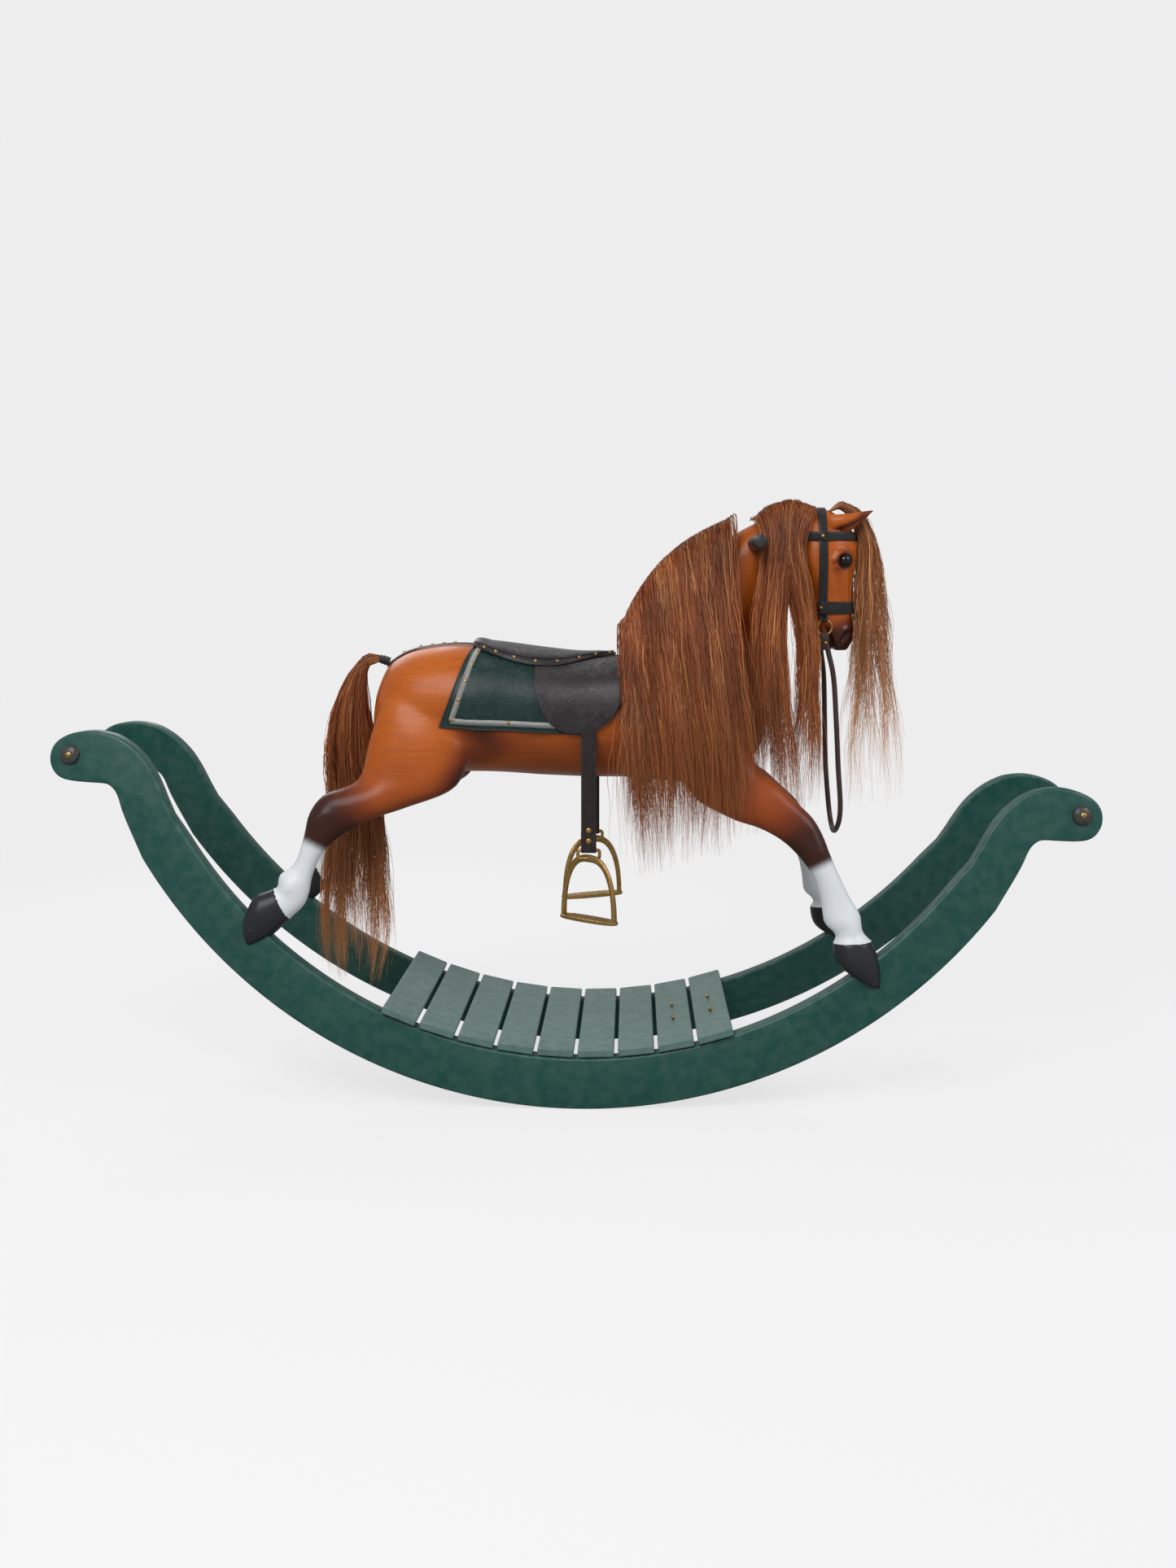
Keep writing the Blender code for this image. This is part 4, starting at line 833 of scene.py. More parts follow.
# The hooves start at a crisp line across the foot: back and front of the coronet in the side view.
for back, front, toe in (((-0.5095, 0.3615), (-0.4795, 0.3045), -1),
                         ((0.4290, 0.2745), (0.5020, 0.2790), 1)):
    edge = np.array((front[0] - back[0], front[1] - back[1]))
    normal = np.array((-edge[1], edge[0])) / np.linalg.norm(edge)
    if normal[1] > 0:
        normal = -normal
    depth = (points[:, 0] - back[0]) * normal[0] + (points[:, 2] - back[1]) * normal[1]
    near = (points[:, 0] * toe > 0.40) & (points[:, 2] < 0.42)
    hoof[near] = np.maximum(hoof[near], depth[near] * 400 + 0.5)
hoof = np.clip(hoof, 0, 1)
EYE = (0.4610, 0.0395, 0.9165)
# Dark paint in the hollows, partly the horse's own airbrushing and partly painted shade where shadow falls,
# as on the flank and belly: strength, width and the line each one follows.
AIRBRUSH_AND_PAINTED_SHADE = (
    (1.0, 0.040, ((-0.165, 0.11, 0.640), (-0.160, 0.11, 0.600), (-0.185, 0.11, 0.545))),
    (0.75, 0.030, ((0.158, 0.10, 0.630), (0.160, 0.10, 0.575), (0.20, 0.10, 0.515))),
    (0.35, 0.034, ((-0.12, 0.10, 0.600), (0.12, 0.10, 0.595))),
    (0.55, 0.022, ((-0.345, 0.05, 0.58), (-0.385, 0.09, 0.535), (-0.44, 0.13, 0.50))),
    (0.5, 0.026, ((-0.16, 0.10, 0.55), (-0.28, 0.11, 0.505), (-0.36, 0.12, 0.470))),
    (0.6, 0.022, ((0.30, 0.10, 0.45), (0.20, 0.09, 0.50))),
    (0.8, 0.020, ((0.27, 0.07, 0.70), (0.288, 0.06, 0.80), (0.33, 0.05, 0.86), (0.37, 0.04, 0.88))),
    (1.0, 0.0200, (EYE, (0.4612, 0.0395, 0.9165))),
    (0.45, 0.009, ((0.4480, 0.045, 0.892), (0.461, 0.033, 0.850))),
    (0.9, 0.0075, ((0.4640, 0.025, 0.7810), (0.4690, 0.024, 0.7890))),
    (0.8, 0.005, ((0.4440, 0.018, 0.7620), (0.4370, 0.029, 0.7860), (0.4300, 0.030, 0.8000))),
    (0.7, 0.016, ((0.440, 0.030, 0.972), (0.470, 0.036, 0.985))),
)
shade = np.zeros(len(points))
for strength, width, line in AIRBRUSH_AND_PAINTED_SHADE:
    shade += strength * soft(distance_to(side_points, line)[0], width)
muzzle = ramp(points[:, 0] * 0.35 - points[:, 2], -0.672, -0.626) * in_head
marks = {"sock": sock, "hoof": hoof, "dark": np.clip(dark + muzzle * 1.0, 0, 1),
         "shade": np.clip(shade, 0, 1.2),
         "in_head": in_head * 1.0}
for name, values in marks.items():
    layer = horse.data.attributes.new(name, "FLOAT", "POINT")
    layer.data.foreach_set("value", values.astype(np.float32))
# The hoof's upper edge stands a little proud of the sock, as a coronet.
outward = normals_of(horse.data)
lift = 0.0010 * hoof + 0.0012 * soft((hoof - 0.5), 0.5) * (hoof > 0.02)
lift[in_head] = 0
horse.data.vertices.foreach_set("co", (points + outward * lift[:, None]).ravel())
horse.data.update()
horse.data.shade_smooth()

CHESTNUT = (0.40, 0.082, 0.008)
CHESTNUT_LIGHT = (0.58, 0.130, 0.012)
RED_BROWN = (0.22, 0.040, 0.010)
MAHOGANY = (0.050, 0.014, 0.008)
SOCK_WHITE = (0.84, 0.88, 0.92)
HOOF_BLACK = (0.026, 0.027, 0.031)


def attribute(tree, name):
    made = tree.nodes.new("ShaderNodeAttribute")
    made.attribute_name = name
    return made.outputs["Fac"]


def airbrushed_timber(name):
    """Thin paint over flat-sawn grain, satin varnished, with glue lines just showing; painted light makes it
    paler on top, and painted shade darker below and in the hollows.
    """
    finish, tree, shader, place = surface(name, 0.40, coat=0.14, coat_roughness=0.18)
    shader.inputs["Specular IOR Level"].default_value = 0.25
    split = tree.nodes.new("ShaderNodeSeparateXYZ")
    wire(tree, split.inputs[0], place)
    up = split.outputs["Z"]
    broad = cloudy(tree, place, 5.5, 2.0)
    grain_space = stretched(tree, place, 5.0, 60.0, 95.0)
    grain = cloudy(tree, grain_space, 1.6, 6.0, 0.35)
    pores = cloudy(tree, stretched(tree, place, 30.0, 500.0, 500.0), 1.0, 2.0)
    tone = mixed(tree, between(tree, broad, 0.32, 0.7), CHESTNUT, CHESTNUT_LIGHT)
    # Painted highlight: paler towards the top of the body. Painted shade: darker and redder low on the body
    # and thighs.
    tone = mixed(tree, between(tree, up, 0.66, 0.78, 0.0, 0.35), tone, CHESTNUT_LIGHT)
    tone = mixed(tree, between(tree, up, 0.48, 0.64, 0.55, 0.0), tone, (0.27, 0.048, 0.016))
    tone = mixed(tree, between(tree, grain, 0.42, 0.72, 0.0, 0.30), tone, (0.30, 0.062, 0.012))
    tone = mixed(tree, between(tree, pores, 0.5, 0.75, 0.0, 0.16), tone, (0.16, 0.03, 0.008))
    # The shade mark colours the hollows red-brown, then mahogany: partly airbrushing, partly painted shade.
    shade = attribute(tree, "shade")
    speckle = between(tree, cloudy(tree, place, 900.0, 1.0), 0.3, 0.7, -0.05, 0.05)
    tone = mixed(tree, between(tree, sums(tree, "ADD", shade, speckle), 0.0, 0.75, 0.0, 0.95), tone,
                 RED_BROWN)
    tone = mixed(tree, between(tree, shade, 0.6, 1.3, 0.0, 0.9), tone, MAHOGANY)
    dark = sums(tree, "ADD", attribute(tree, "dark"), speckle)
    tone = mixed(tree, between(tree, dark, 0.0, 0.55), tone, RED_BROWN)
    tone = mixed(tree, between(tree, dark, 0.35, 1.0), tone, MAHOGANY)
    tone = mixed(tree, between(tree, sums(tree, "ADD", attribute(tree, "sock"), speckle), 0.12, 0.9), tone,
                 SOCK_WHITE)
    for height in (0.5885, 0.7000):
        gap = sums(tree, "ABSOLUTE", sums(tree, "SUBTRACT", up, height), 0.0)
        line = between(tree, gap, 0.0003, 0.0009, 0.32, 0.0)
        line = sums(tree, "MULTIPLY", line, between(tree, cloudy(tree, place, 16.0), 0.35, 0.6))
        line = sums(tree, "MULTIPLY", line, between(tree, attribute(tree, "in_head"), 0.0, 1.0, 1.0, 0.0))
        tone = mixed(tree, line, tone, (0.05, 0.015, 0.008))
    hoof = between(tree, attribute(tree, "hoof"), 0.42, 0.58)
    tone = mixed(tree, hoof, tone, HOOF_BLACK)
    wire(tree, shader.inputs["Base Color"], tone)
    wire(tree, shader.inputs["Roughness"], between(tree, cloudy(tree, place, 22.0), 0.3, 0.7, 0.30, 0.42))
    coarse = relief(tree, shader, broad, 0.0010)
    relief(tree, shader, grain, 0.00022, coarse)
    return finish


horse_paint = airbrushed_timber("airbrushed_chestnut")
horse.data.materials.clear()
horse.data.materials.append(horse_paint)
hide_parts("body_lower_block", "body_middle_block", "body_upper_block", "neck", "head",
            *(f"leg_{place_name}_{label}" for place_name in ("front", "rear") for label, _ in SIDES))
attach(horse, "horse")

# ---- Ears -------------------------------------------------------------------------------------------
# Each ear is carved long and pricked forwards, hollowed on its lower, outer side, and let into the poll.
EAR = (
    ((0.4210, 0.9860), (0.4400, 0.9560), 0.0240, 0.0130),
    ((0.4280, 0.9915), (0.4540, 0.9600), 0.0290, 0.0145),
    ((0.4420, 0.9940), (0.4660, 0.9650), 0.0330, 0.0140),
    ((0.4580, 0.9950), (0.4770, 0.9720), 0.0355, 0.0120),
    ((0.4740, 0.9962), (0.4860, 0.9800), 0.0368, 0.0090),
    ((0.4880, 0.9985), (0.4955, 0.9885), 0.0376, 0.0058),
    ((0.4985, 1.0000), (0.5015, 0.9950), 0.0380, 0.0028),
    ((0.5045, 1.0005), (0.5060, 0.9988), 0.0382, 0.0009),
)
EAR_HOLLOW = ((0.4500, 0.0420, 0.9640), (0.4640, 0.0460, 0.9700), (0.4780, 0.0470, 0.9790),
              (0.4920, 0.0440, 0.9900))
for label, side in SIDES:
    bm = bmesh.new()
    skin_over(bm, EAR, side, 36, 8, 2.0)
    ear = show("carved_ear_" + label, bm, horse_paint)
    points, outward = points_of(ear.data), normals_of(ear.data)
    mirrored = points * (1, side, 1)
    gap, along = distance_to(mirrored, EAR_HOLLOW)
    width = 0.0085 * np.clip(1.15 - along / 0.055, 0.25, 1)
    hollow = 0.0060 * np.exp(-(gap / width) ** 2) * np.clip(1.1 - along / 0.055, 0.1, 1)
    points -= outward * hollow[:, None]
    ear.data.vertices.foreach_set("co", points.ravel())
    ear.data.update()
    # Painted shade in the ear's hollow, through the shade mark, which also darkens the ear towards its tip.
    for name, values in (("shade", np.clip(1.15 * soft(gap, 0.0085) + 0.6 * ramp(points[:, 0], 0.478, 0.500),
                                           0, 1.2)),
                         ("dark", 0.35 * ramp(points[:, 0], 0.470, 0.500)),
                         ("in_head", np.ones(len(points)))):
        layer = ear.data.attributes.new(name, "FLOAT", "POINT")
        layer.data.foreach_set("value", values.astype(np.float32))
    ear.data.shade_smooth()

# ---- Eyes -------------------------------------------------------------------------------------------
# Blown glass eyes, nearly black, set in putty with a thin dark rim.
glass_eye, tree, shader, place = surface("black_brown_glass", 0.04)
two_toned(tree, shader, cloudy(tree, place, 300.0), 0.4, 0.7, (0.003, 0.002, 0.002), (0.010, 0.005, 0.003))
rim_paint, tree, shader, place = surface("eye_rim_paint", 0.4)
two_toned(tree, shader, cloudy(tree, place, 200.0), 0.3, 0.7, (0.010, 0.005, 0.004), (0.035, 0.012, 0.008))
EYE_OUT = Vector((0.22, 1.0, 0.06)).normalized()
for label, side in SIDES:
    out = Vector((EYE_OUT.x, EYE_OUT.y * side, EYE_OUT.z))
    centre = Vector((EYE[0], EYE[1] * side, EYE[2])) - out * 0.0055
    radius = 0.0124
    bm = bmesh.new()
    rounds = [math.radians(-60 + 7.4 * i) for i in range(21)]
    turned(bm, [(radius * math.cos(a), radius * math.sin(a)) for a in rounds], centre, out, 40)
    show("glass_eye_" + label, bm, glass_eye, stands_for=("eye_" + label,))
    bm = bmesh.new()
    ring = [(0.0117 + 0.0016 * math.cos(a),
             0.0042 + 0.0013 * math.sin(a)) for a in (2 * math.pi * i / 12 for i in range(13))]
    turned(bm, ring, centre, out, 40)
    bmesh.ops.delete(bm, geom=[f for f in bm.faces if len(f.verts) > 4], context="FACES_ONLY")
    bmesh.ops.remove_doubles(bm, verts=bm.verts, dist=0.00001)
    bmesh.ops.recalc_face_normals(bm, faces=bm.faces)
    show("eye_rim_" + label, bm, rim_paint)

# ---- Hoof plugs -------------------------------------------------------------------------------------
# A screw through each hoof's lap into the bow, sunk and capped with a small dished plug.
plug_black, tree, shader, place = surface("hoof_plug_black", 0.35)
two_toned(tree, shader, cloudy(tree, place, 400.0), 0.3, 0.7, (0.012, 0.012, 0.013), (0.05, 0.05, 0.052))
bpy.context.view_layer.update()
horse_tree = BVHTree.FromObject(horse, bpy.context.evaluated_depsgraph_get())
for label, side in SIDES:
    for name, (x, z) in (("hoof_screw_front_" + label, (0.499, 0.233)),
                         ("hoof_screw_rear_" + label, (-0.545, 0.293))):
        spot, out, _, _ = horse_tree.ray_cast(Vector((x, side * 0.4, z)), Vector((0, -side, 0)))
        bm = bmesh.new()
        turned(bm, ((0.0046, -0.004), (0.0046, 0.0002), (0.0042, 0.0006), (0.0032, 0.0006),
                    (0.0026, -0.0004),
                    (0.0012, -0.0008)), spot, out, 28)
        show(name.replace("screw", "plug"), bm, plug_black, stands_for=(name,))

# ---- Handle -----------------------------------------------------------------------------------------
# A turned hand grip through the neck, blackened and rubbed dull by hands.
HANDLE_AT = (0.307, 0.944)
GRIP_RADIUS = 0.013
grip_black, tree, shader, place = surface("grip_black_paint", 0.42, coat=0.15, coat_roughness=0.3)
two_toned(tree, shader, cloudy(tree, place, 70.0, 4.0), 0.35, 0.75, (0.016, 0.014, 0.014),
          (0.040, 0.034, 0.033))
relief(tree, shader, cloudy(tree, stretched(tree, place, 1.0, 12.0, 1.0), 60.0, 3.0), 0.00025)
bm = bmesh.new()
half_profile = ((1.06, 0.0), (1.06, 0.06), (1.04, 0.085), (1.0, 0.105), (0.97, 0.1185), (0.91, 0.1245),
                (0.81, 0.1272), (0.70, 0.128))
profile = [(GRIP_RADIUS * r, -reach) for r, reach in reversed(half_profile)]
profile += [(GRIP_RADIUS * r, reach) for r, reach in half_profile[1:]]
turned(bm, profile, (HANDLE_AT[0], 0, HANDLE_AT[1]), (0, 1, 0), 44)
show("hand_grip", bm, grip_black, stands_for=("handle",))
# ---- Saddle cloth -----------------------------------------------------------------------------------
# One panel of green grained leather laid over the back and left to hang down both sides.
# Its rear and lower edges are turned and piped, with silver braid sewn inside them and brass studs.
BARREL_AXIS_Z = 0.655
# Columns run from rear to front: x at the spine, x at the hem, z of the hem.
CLOTH = ((-0.174, -0.231, 0.634), (-0.110, -0.140, 0.629), (-0.050, -0.055, 0.6245),
         (0.005, -0.005, 0.6210), (0.048, 0.026, 0.6200))
CLOTH_LIFT, CLOTH_THICKNESS = 0.0012, 0.0022


def column_at(columns, share):
    """The column that far along a panel, from 0 at its rear to 1 at its front."""
    place = share * (len(columns) - 1)
    k = min(int(place), len(columns) - 2)
    rows = [Vector(c).to_4d() for c in (columns[max(k - 1, 0)], columns[k], columns[k + 1],
                                        columns[min(k + 2, len(columns) - 1)])]
    t = place - k
    a, b, c, d = rows
    return 0.5 * (2 * b + (c - a) * t + (2 * a - 5 * b + 4 * c - d) * t * t
                  + (3 * b - a - 3 * c + d) * t ** 3)


def over_back(x, turn, lift):
    """A point over the barrel, turn radians round from the spine, and the way out of the horse there."""
    across = Vector((0.0, math.sin(turn), math.cos(turn)))
    spot, out, _, _ = horse_tree.ray_cast(Vector((x, 0.0, BARREL_AXIS_Z)) + across * 0.35, -across)
    out = (out * Vector((0.3, 1, 1))).normalized()
    return spot + out * lift, out


def hem_turn(hem_z, half_width=0.108):
    return math.pi / 2 + math.atan((BARREL_AXIS_Z - hem_z) / half_width)


def cloth_point(share, down, side, lift=0.0):
    """A point of the cloth: share from rear to front, and down from 0 at the spine to 1 at the hem."""
    top_x, hem_x, hem_z = column_at(CLOTH, share)[:3]
    x = top_x + (hem_x - top_x) * down ** 1.4
    sag = 0.0016 * down ** 3 * (1 + math.sin(x * 58.0 + side))
    return over_back(x, side * hem_turn(hem_z) * down, CLOTH_LIFT + lift + sag)


def draped_panel(bm, point_at, along, across, thickness, rise=None):
    """A closed sheet over a grid of points: both faces and a rounded edge all the way round."""
    outer, inner = [], []
    for i in range(along + 1):
        top, low = [], []
        for j in range(across + 1):
            edge = min(i, along - i, 2) / 2 * min(j, across - j, 2) / 2
            extra = rise(i / along, j / across) if rise else 0.0
            spot, out = point_at(i / along, j / across)
            top.append(bm.verts.new(spot + out * ((thickness + extra) * (0.62 + 0.38 * edge))))
            low.append(bm.verts.new(spot + out * (thickness * 0.25 * (1 - edge))))
        outer.append(top)
        inner.append(low)
    faces = []
    for grid, flip in ((outer, 1), (inner, -1)):
        for a, b in zip(grid, grid[1:]):
            for j in range(across):
                faces.append(bm.faces.new((a[j], a[j + 1], b[j + 1], b[j])[::flip]))
    for j in range(across):
        faces.append(bm.faces.new((outer[0][j], inner[0][j], inner[0][j + 1], outer[0][j + 1])))
        faces.append(bm.faces.new((outer[-1][j], outer[-1][j + 1], inner[-1][j + 1], inner[-1][j])))
    for i in range(along):
        faces.append(bm.faces.new((outer[i][0], outer[i + 1][0], inner[i + 1][0], inner[i][0])))
        faces.append(bm.faces.new((outer[i][-1], inner[i][-1], inner[i + 1][-1], outer[i + 1][-1])))
    bmesh.ops.recalc_face_normals(bm, faces=faces)


def tube(bm, points, radius, sides=8):
    """A closed round rod along points; radius may change from point to point."""
    points = [Vector(p) for p in points]
    radii = radius if isinstance(radius, (list, tuple)) else [radius] * len(points)
    up = Vector((0.31, 0.17, 0.93))
    rings = []
    for i, point in enumerate(points):
        ahead = (points[min(i + 1, len(points) - 1)] - points[max(i - 1, 0)]).normalized()
        flat = ahead.cross(up)
        flat = flat.normalized() if flat.length > 1e-6 else Vector((1, 0, 0))
        up = flat.cross(ahead).normalized()
        rings.append([bm.verts.new(point + (flat * math.cos(a) + up * math.sin(a)) * radii[i])
                      for a in (2 * math.pi * k / sides for k in range(sides))])
    faces = [bm.faces.new(rings[0][::-1]), bm.faces.new(rings[-1])]
    for low, high in zip(rings, rings[1:]):
        for k in range(sides):
            j = (k + 1) % sides
            faces.append(bm.faces.new((low[k], low[j], high[j], high[k])))
    bmesh.ops.recalc_face_normals(bm, faces=faces)


def length_of(points):
    return sum((Vector(b) - Vector(a)).length for a, b in zip(points, points[1:]))


green_hide = grained_leather("green_grained_hide", (0.012, 0.076, 0.066), (0.030, 0.140, 0.122), 400.0,
                             0.0012, 0.24)
bm = bmesh.new()
draped_panel(bm, lambda u, v: cloth_point(u, abs(2 * v - 1), -1 if v < 0.5 else 1), 84, 132, CLOTH_THICKNESS)
cloth = show("green_saddle_cloth", bm, green_hide, stands_for=("saddle_cloth",))
hem = [cloth_point(u / 20, 1, 1)[0] for u in range(21)]
middle = [cloth_point(0.5, abs(v) / 20, -1 if v < 0 else 1)[0] for v in range(-20, 21)]

black_piping, tree, shader, place = surface("black_piping", 0.45)
two_toned(tree, shader, cloudy(tree, place, 300.0), 0.35, 0.7, (0.010, 0.012, 0.012), (0.035, 0.04, 0.038))
bm = bmesh.new()
for side in (-1, 1):
    rear = [cloth_point(0.0, 0.12 + 0.88 * k / 60, side, CLOTH_THICKNESS * 0.45)[0] for k in range(61)]
    low = [cloth_point(k / 80, 1.0, side, CLOTH_THICKNESS * 0.45)[0] for k in range(81)]
    tube(bm, rear + low[1:], 0.0016, 8)
show("saddle_cloth_piping", bm, black_piping, smooth=60)

silver_braid, tree, shader, place = surface("silver_braid_thread", 0.33, metallic=0.75)
strands = cells(tree, stretched(tree, place, 1.0, 1.0, 1.0), 2600.0)
two_toned(tree, shader, strands, 0.1, 0.6, (0.16, 0.16, 0.155), (0.56, 0.56, 0.54))
relief(tree, shader, strands, 0.0002)
BRAID_PITCH = 0.0088
bm = bmesh.new()
for side in (-1, 1):
    line = [cloth_point(0.060, 0.10 + 0.84 * k / 40, side, CLOTH_THICKNESS + 0.0012) for k in range(41)]
    line += [cloth_point(0.060 + 0.935 * k / 60, 0.94, side, CLOTH_THICKNESS + 0.0012) for k in range(1, 61)]
    travelled = 0.0
    spots = []
    for (a, out), (b, _) in zip(line, line[1:]):
        step = (b - a).length
        pieces = max(1, round(step / BRAID_PITCH * 10))
        for k in range(pieces):
            spots.append((a.lerp(b, k / pieces), out, (b - a).normalized(), travelled + step * k / pieces))
        travelled += step
    for strand in range(3):
        points = []
        for spot, out, along, at in spots:
            phase = 2 * math.pi * (at / BRAID_PITCH + strand / 3)
            swing = out.cross(along).normalized() * (0.0036 * math.sin(phase))
            points.append(spot + swing + out * (0.0007 * math.cos(2 * phase)))
        tube(bm, points, 0.00105, 5)
    for edge in (-1, 1):
        points = [spot + out.cross(along).normalized() * edge * (0.0041 + 0.0006 * math.sin(at * 1400))
                  - out * 0.0004 for spot, out, along, at in spots]
        tube(bm, points, 0.0006, 4)
show("silver_braid", bm, silver_braid, smooth=70)

BRASS_STUD = ((0.0038, -0.0008), (0.0039, 0.0004), (0.0034, 0.0013), (0.0024, 0.0021), (0.0010, 0.0025))
bm = bmesh.new()
for side in (-1, 1):
    for share, down in ((0.070, 0.30), (0.068, 0.44), (0.064, 0.60), (0.062, 0.76), (0.062, 0.93),
                        (0.32, 0.935),
                        (0.58, 0.935)):
        spot, out = cloth_point(share, down, side, CLOTH_THICKNESS + 0.0008)
        turned(bm, BRASS_STUD, spot, out, 20)
show("cloth_studs", bm, brass, smooth=60)

# ---- Saddle -----------------------------------------------------------------------------------------
# A padded seat of black leather, stuffed thin and nailed down along its edge with brass studs.
# A flap of thicker, heavily grained hide hangs from it on each side and covers the stirrup strap.
SEAT = ((-0.180, -0.180, 0.7660), (-0.160, -0.160, 0.7580), (-0.137, -0.137, 0.7500),
        (-0.104, -0.104, 0.7400),
        (-0.070, -0.070, 0.7340), (-0.031, -0.031, 0.7340), (0.006, 0.006, 0.7410), (0.038, 0.038, 0.7470),
        (0.066, 0.066, 0.7500))
SEAT_LIFT, SEAT_THICKNESS = 0.0046, 0.0040
saddle_black = grained_leather("black_saddle_hide", (0.030, 0.024, 0.026), (0.075, 0.063, 0.066), 520.0,
                               0.00035, 0.27)
# The flap's hide is coloured much paler than the seat's, as painted sheen.
flap_hide_painted_sheen = grained_leather("grained_flap_hide_painted_sheen", (0.066, 0.056, 0.064), (0.150, 0.130, 0.142), 400.0,
                            0.0012, 0.25)


def turn_at_height(x, height):
    """How far round from the spine the barrel has come down to a height."""
    low, high = 0.0, math.radians(120)
    for _ in range(18):
        turn = (low + high) / 2
        if over_back(x, turn, 0.0)[0].z > height:
            low = turn
        else:
            high = turn
    return low


seat_turns = [turn_at_height(column_at(SEAT, k / 40)[0], column_at(SEAT, k / 40)[2]) for k in range(41)]


def seat_point(share, across, lift=0.0):
    x = column_at(SEAT, share)[0]
    place = share * 40
    k = min(int(place), 39)
    edge = seat_turns[k] + (seat_turns[k + 1] - seat_turns[k]) * (place - k)
    return over_back(x, edge * (2 * across - 1), SEAT_LIFT + lift)


def stuffing(share, across):
    """Extra height of the padding, pulled in at the seams and along the nailed edge."""
    sides = min(across, 1 - across) * 2
    ends = min(share, 1 - share) * 2
    full = min(1.0, sides * 3.2) ** 0.7 * min(1.0, ends * 4.0) ** 0.7
    dip = 0.0011 * math.exp(-((sides - 0.16) / 0.05) ** 2)
    cantle = 0.0035 * math.exp(-((share - 0.06) / 0.07) ** 2) * min(1.0, sides * 2)
    creases = 0.0002 * wander(Vector((share * 9, across * 5, 2.0)))
    return 0.0034 * full + cantle - dip + creases


bm = bmesh.new()
draped_panel(bm, seat_point, 96, 72, SEAT_THICKNESS, stuffing)
seat = show("black_padded_seat", bm, saddle_black, stands_for=("saddle_seat",))
bm = bmesh.new()
for edge in (0.0, 1.0):
    tube(bm, [seat_point(k / 120, edge, 0.0016)[0] for k in range(121)], 0.0019, 8)
    tube(bm, [seat_point(k / 120, abs(edge - 0.085), SEAT_THICKNESS + 0.0018)[0] for k in range(2, 119)],
         0.0011, 6)
tube(bm, [seat_point(0.0, k / 60, 0.0016)[0] for k in range(61)], 0.0019, 8)
tube(bm, [seat_point(1.0, k / 60, 0.0016)[0] for k in range(61)], 0.0019, 8)
show("seat_piping", bm, saddle_black, smooth=60)
bm = bmesh.new()
for x in (-0.1602, -0.1394, -0.1061, -0.070, -0.0325, 0.005, 0.0328, 0.058):
    share = min(range(201), key=lambda k: abs(column_at(SEAT, k / 200)[0] - x)) / 200
    for across in (0.042, 0.958):
        spot, out = seat_point(share, across, SEAT_THICKNESS + 0.0004)
        turned(bm, [(r * 0.88, z) for r, z in BRASS_STUD], spot, out, 20)
show("seat_studs", bm, brass, smooth=60)

FLAP = ((-0.071, 0.7328, 0.7100), (-0.063, 0.7325, 0.6720), (-0.043, 0.7325, 0.6410),
        (-0.020, 0.7335, 0.6275),
        (0.006, 0.7390, 0.6245), (0.038, 0.7450, 0.6315), (0.062, 0.7475, 0.6480), (0.078, 0.7480, 0.6740))
FLAP_LIFT, FLAP_THICKNESS = 0.0068, 0.0030


def flap_point(share, down, side, lift=0.0):
    x, top, bottom = column_at(FLAP, share)[:3]
    start = turn_at_height(x, top - 0.0006)
    end = turn_at_height(x, bottom)
    return over_back(x, side * (start + (end - start) * down), FLAP_LIFT + lift - 0.0030 * (1 - down) ** 4)


for label, side in SIDES:
    bm = bmesh.new()
    table = [[flap_point(i / 64, j / 56, side) for j in range(57)] for i in range(65)]
    draped_panel(bm, lambda u, v: table[round(u * 64)][round(v * 56)], 64, 56, FLAP_THICKNESS)
    flap = show("grained_flap_" + label, bm, flap_hide_painted_sheen,
                stands_for=("saddle_flap_" + label,))
    width = length_of([table[i][20][0] for i in range(65)])

# ---- Crupper ----------------------------------------------------------------------------------------
# A strap of the same hide from under the cantle to the dock of the tail, held down by brass studs.
def strap_over(bm, stations, half_width, thickness):
    """A flat strap with eased edges: each station gives its middle, the way out and the way across."""
    shape = [(-1.0, 0.0), (-1.0, 0.55), (-0.93, 0.88), (-0.78, 1.0), (-0.35, 1.03), (0.0, 1.04),
             (0.35, 1.03),
             (0.78, 1.0), (0.93, 0.88), (1.0, 0.55), (1.0, 0.0)]
    rings = []
    for middle, out, across in stations:
        rings.append([bm.verts.new(middle + across * (half_width * a) + out * (thickness * b)) for a,
                      b in shape])
    faces = [bm.faces.new(rings[0]), bm.faces.new(rings[-1])]
    for low, high in zip(rings, rings[1:]):
        for k in range(len(shape)):
            j = (k + 1) % len(shape)
            faces.append(bm.faces.new((low[k], low[j], high[j], high[k])))
    bmesh.ops.recalc_face_normals(bm, faces=faces)


def crupper_point(share, across):
    """The strap widens towards the tail, where it is split to hold the dock."""
    x = -0.176 - 0.158 * share
    return over_back(x, (2 * across - 1) * (0.085 + 0.16 * share ** 2), 0.0009)


bm = bmesh.new()
draped_panel(bm, crupper_point, 60, 14, 0.0030)
show("crupper", bm, saddle_black, stands_for=("crupper_strap",))
bm = bmesh.new()
for x in (-0.2155, -0.2355, -0.2560, -0.2760, -0.3050):
    spot, out = over_back(x, -0.03, 0.0036)
    turned(bm, [(r * 0.9, z) for r, z in BRASS_STUD], spot, out, 20)
show("crupper_studs", bm, brass, smooth=60)

# ---- Bridle -----------------------------------------------------------------------------------------
# Narrow straps of black pebbled leather, sewn close to the head: a headpiece with both cheeks,
# a browband and a noseband, joined under small brass studs.
bridle_hide = grained_leather("black_bridle_hide", (0.014, 0.013, 0.014), (0.040, 0.037, 0.039), 1100.0,
                              0.00030, 0.24)
BRIDLE_THICKNESS = 0.0026


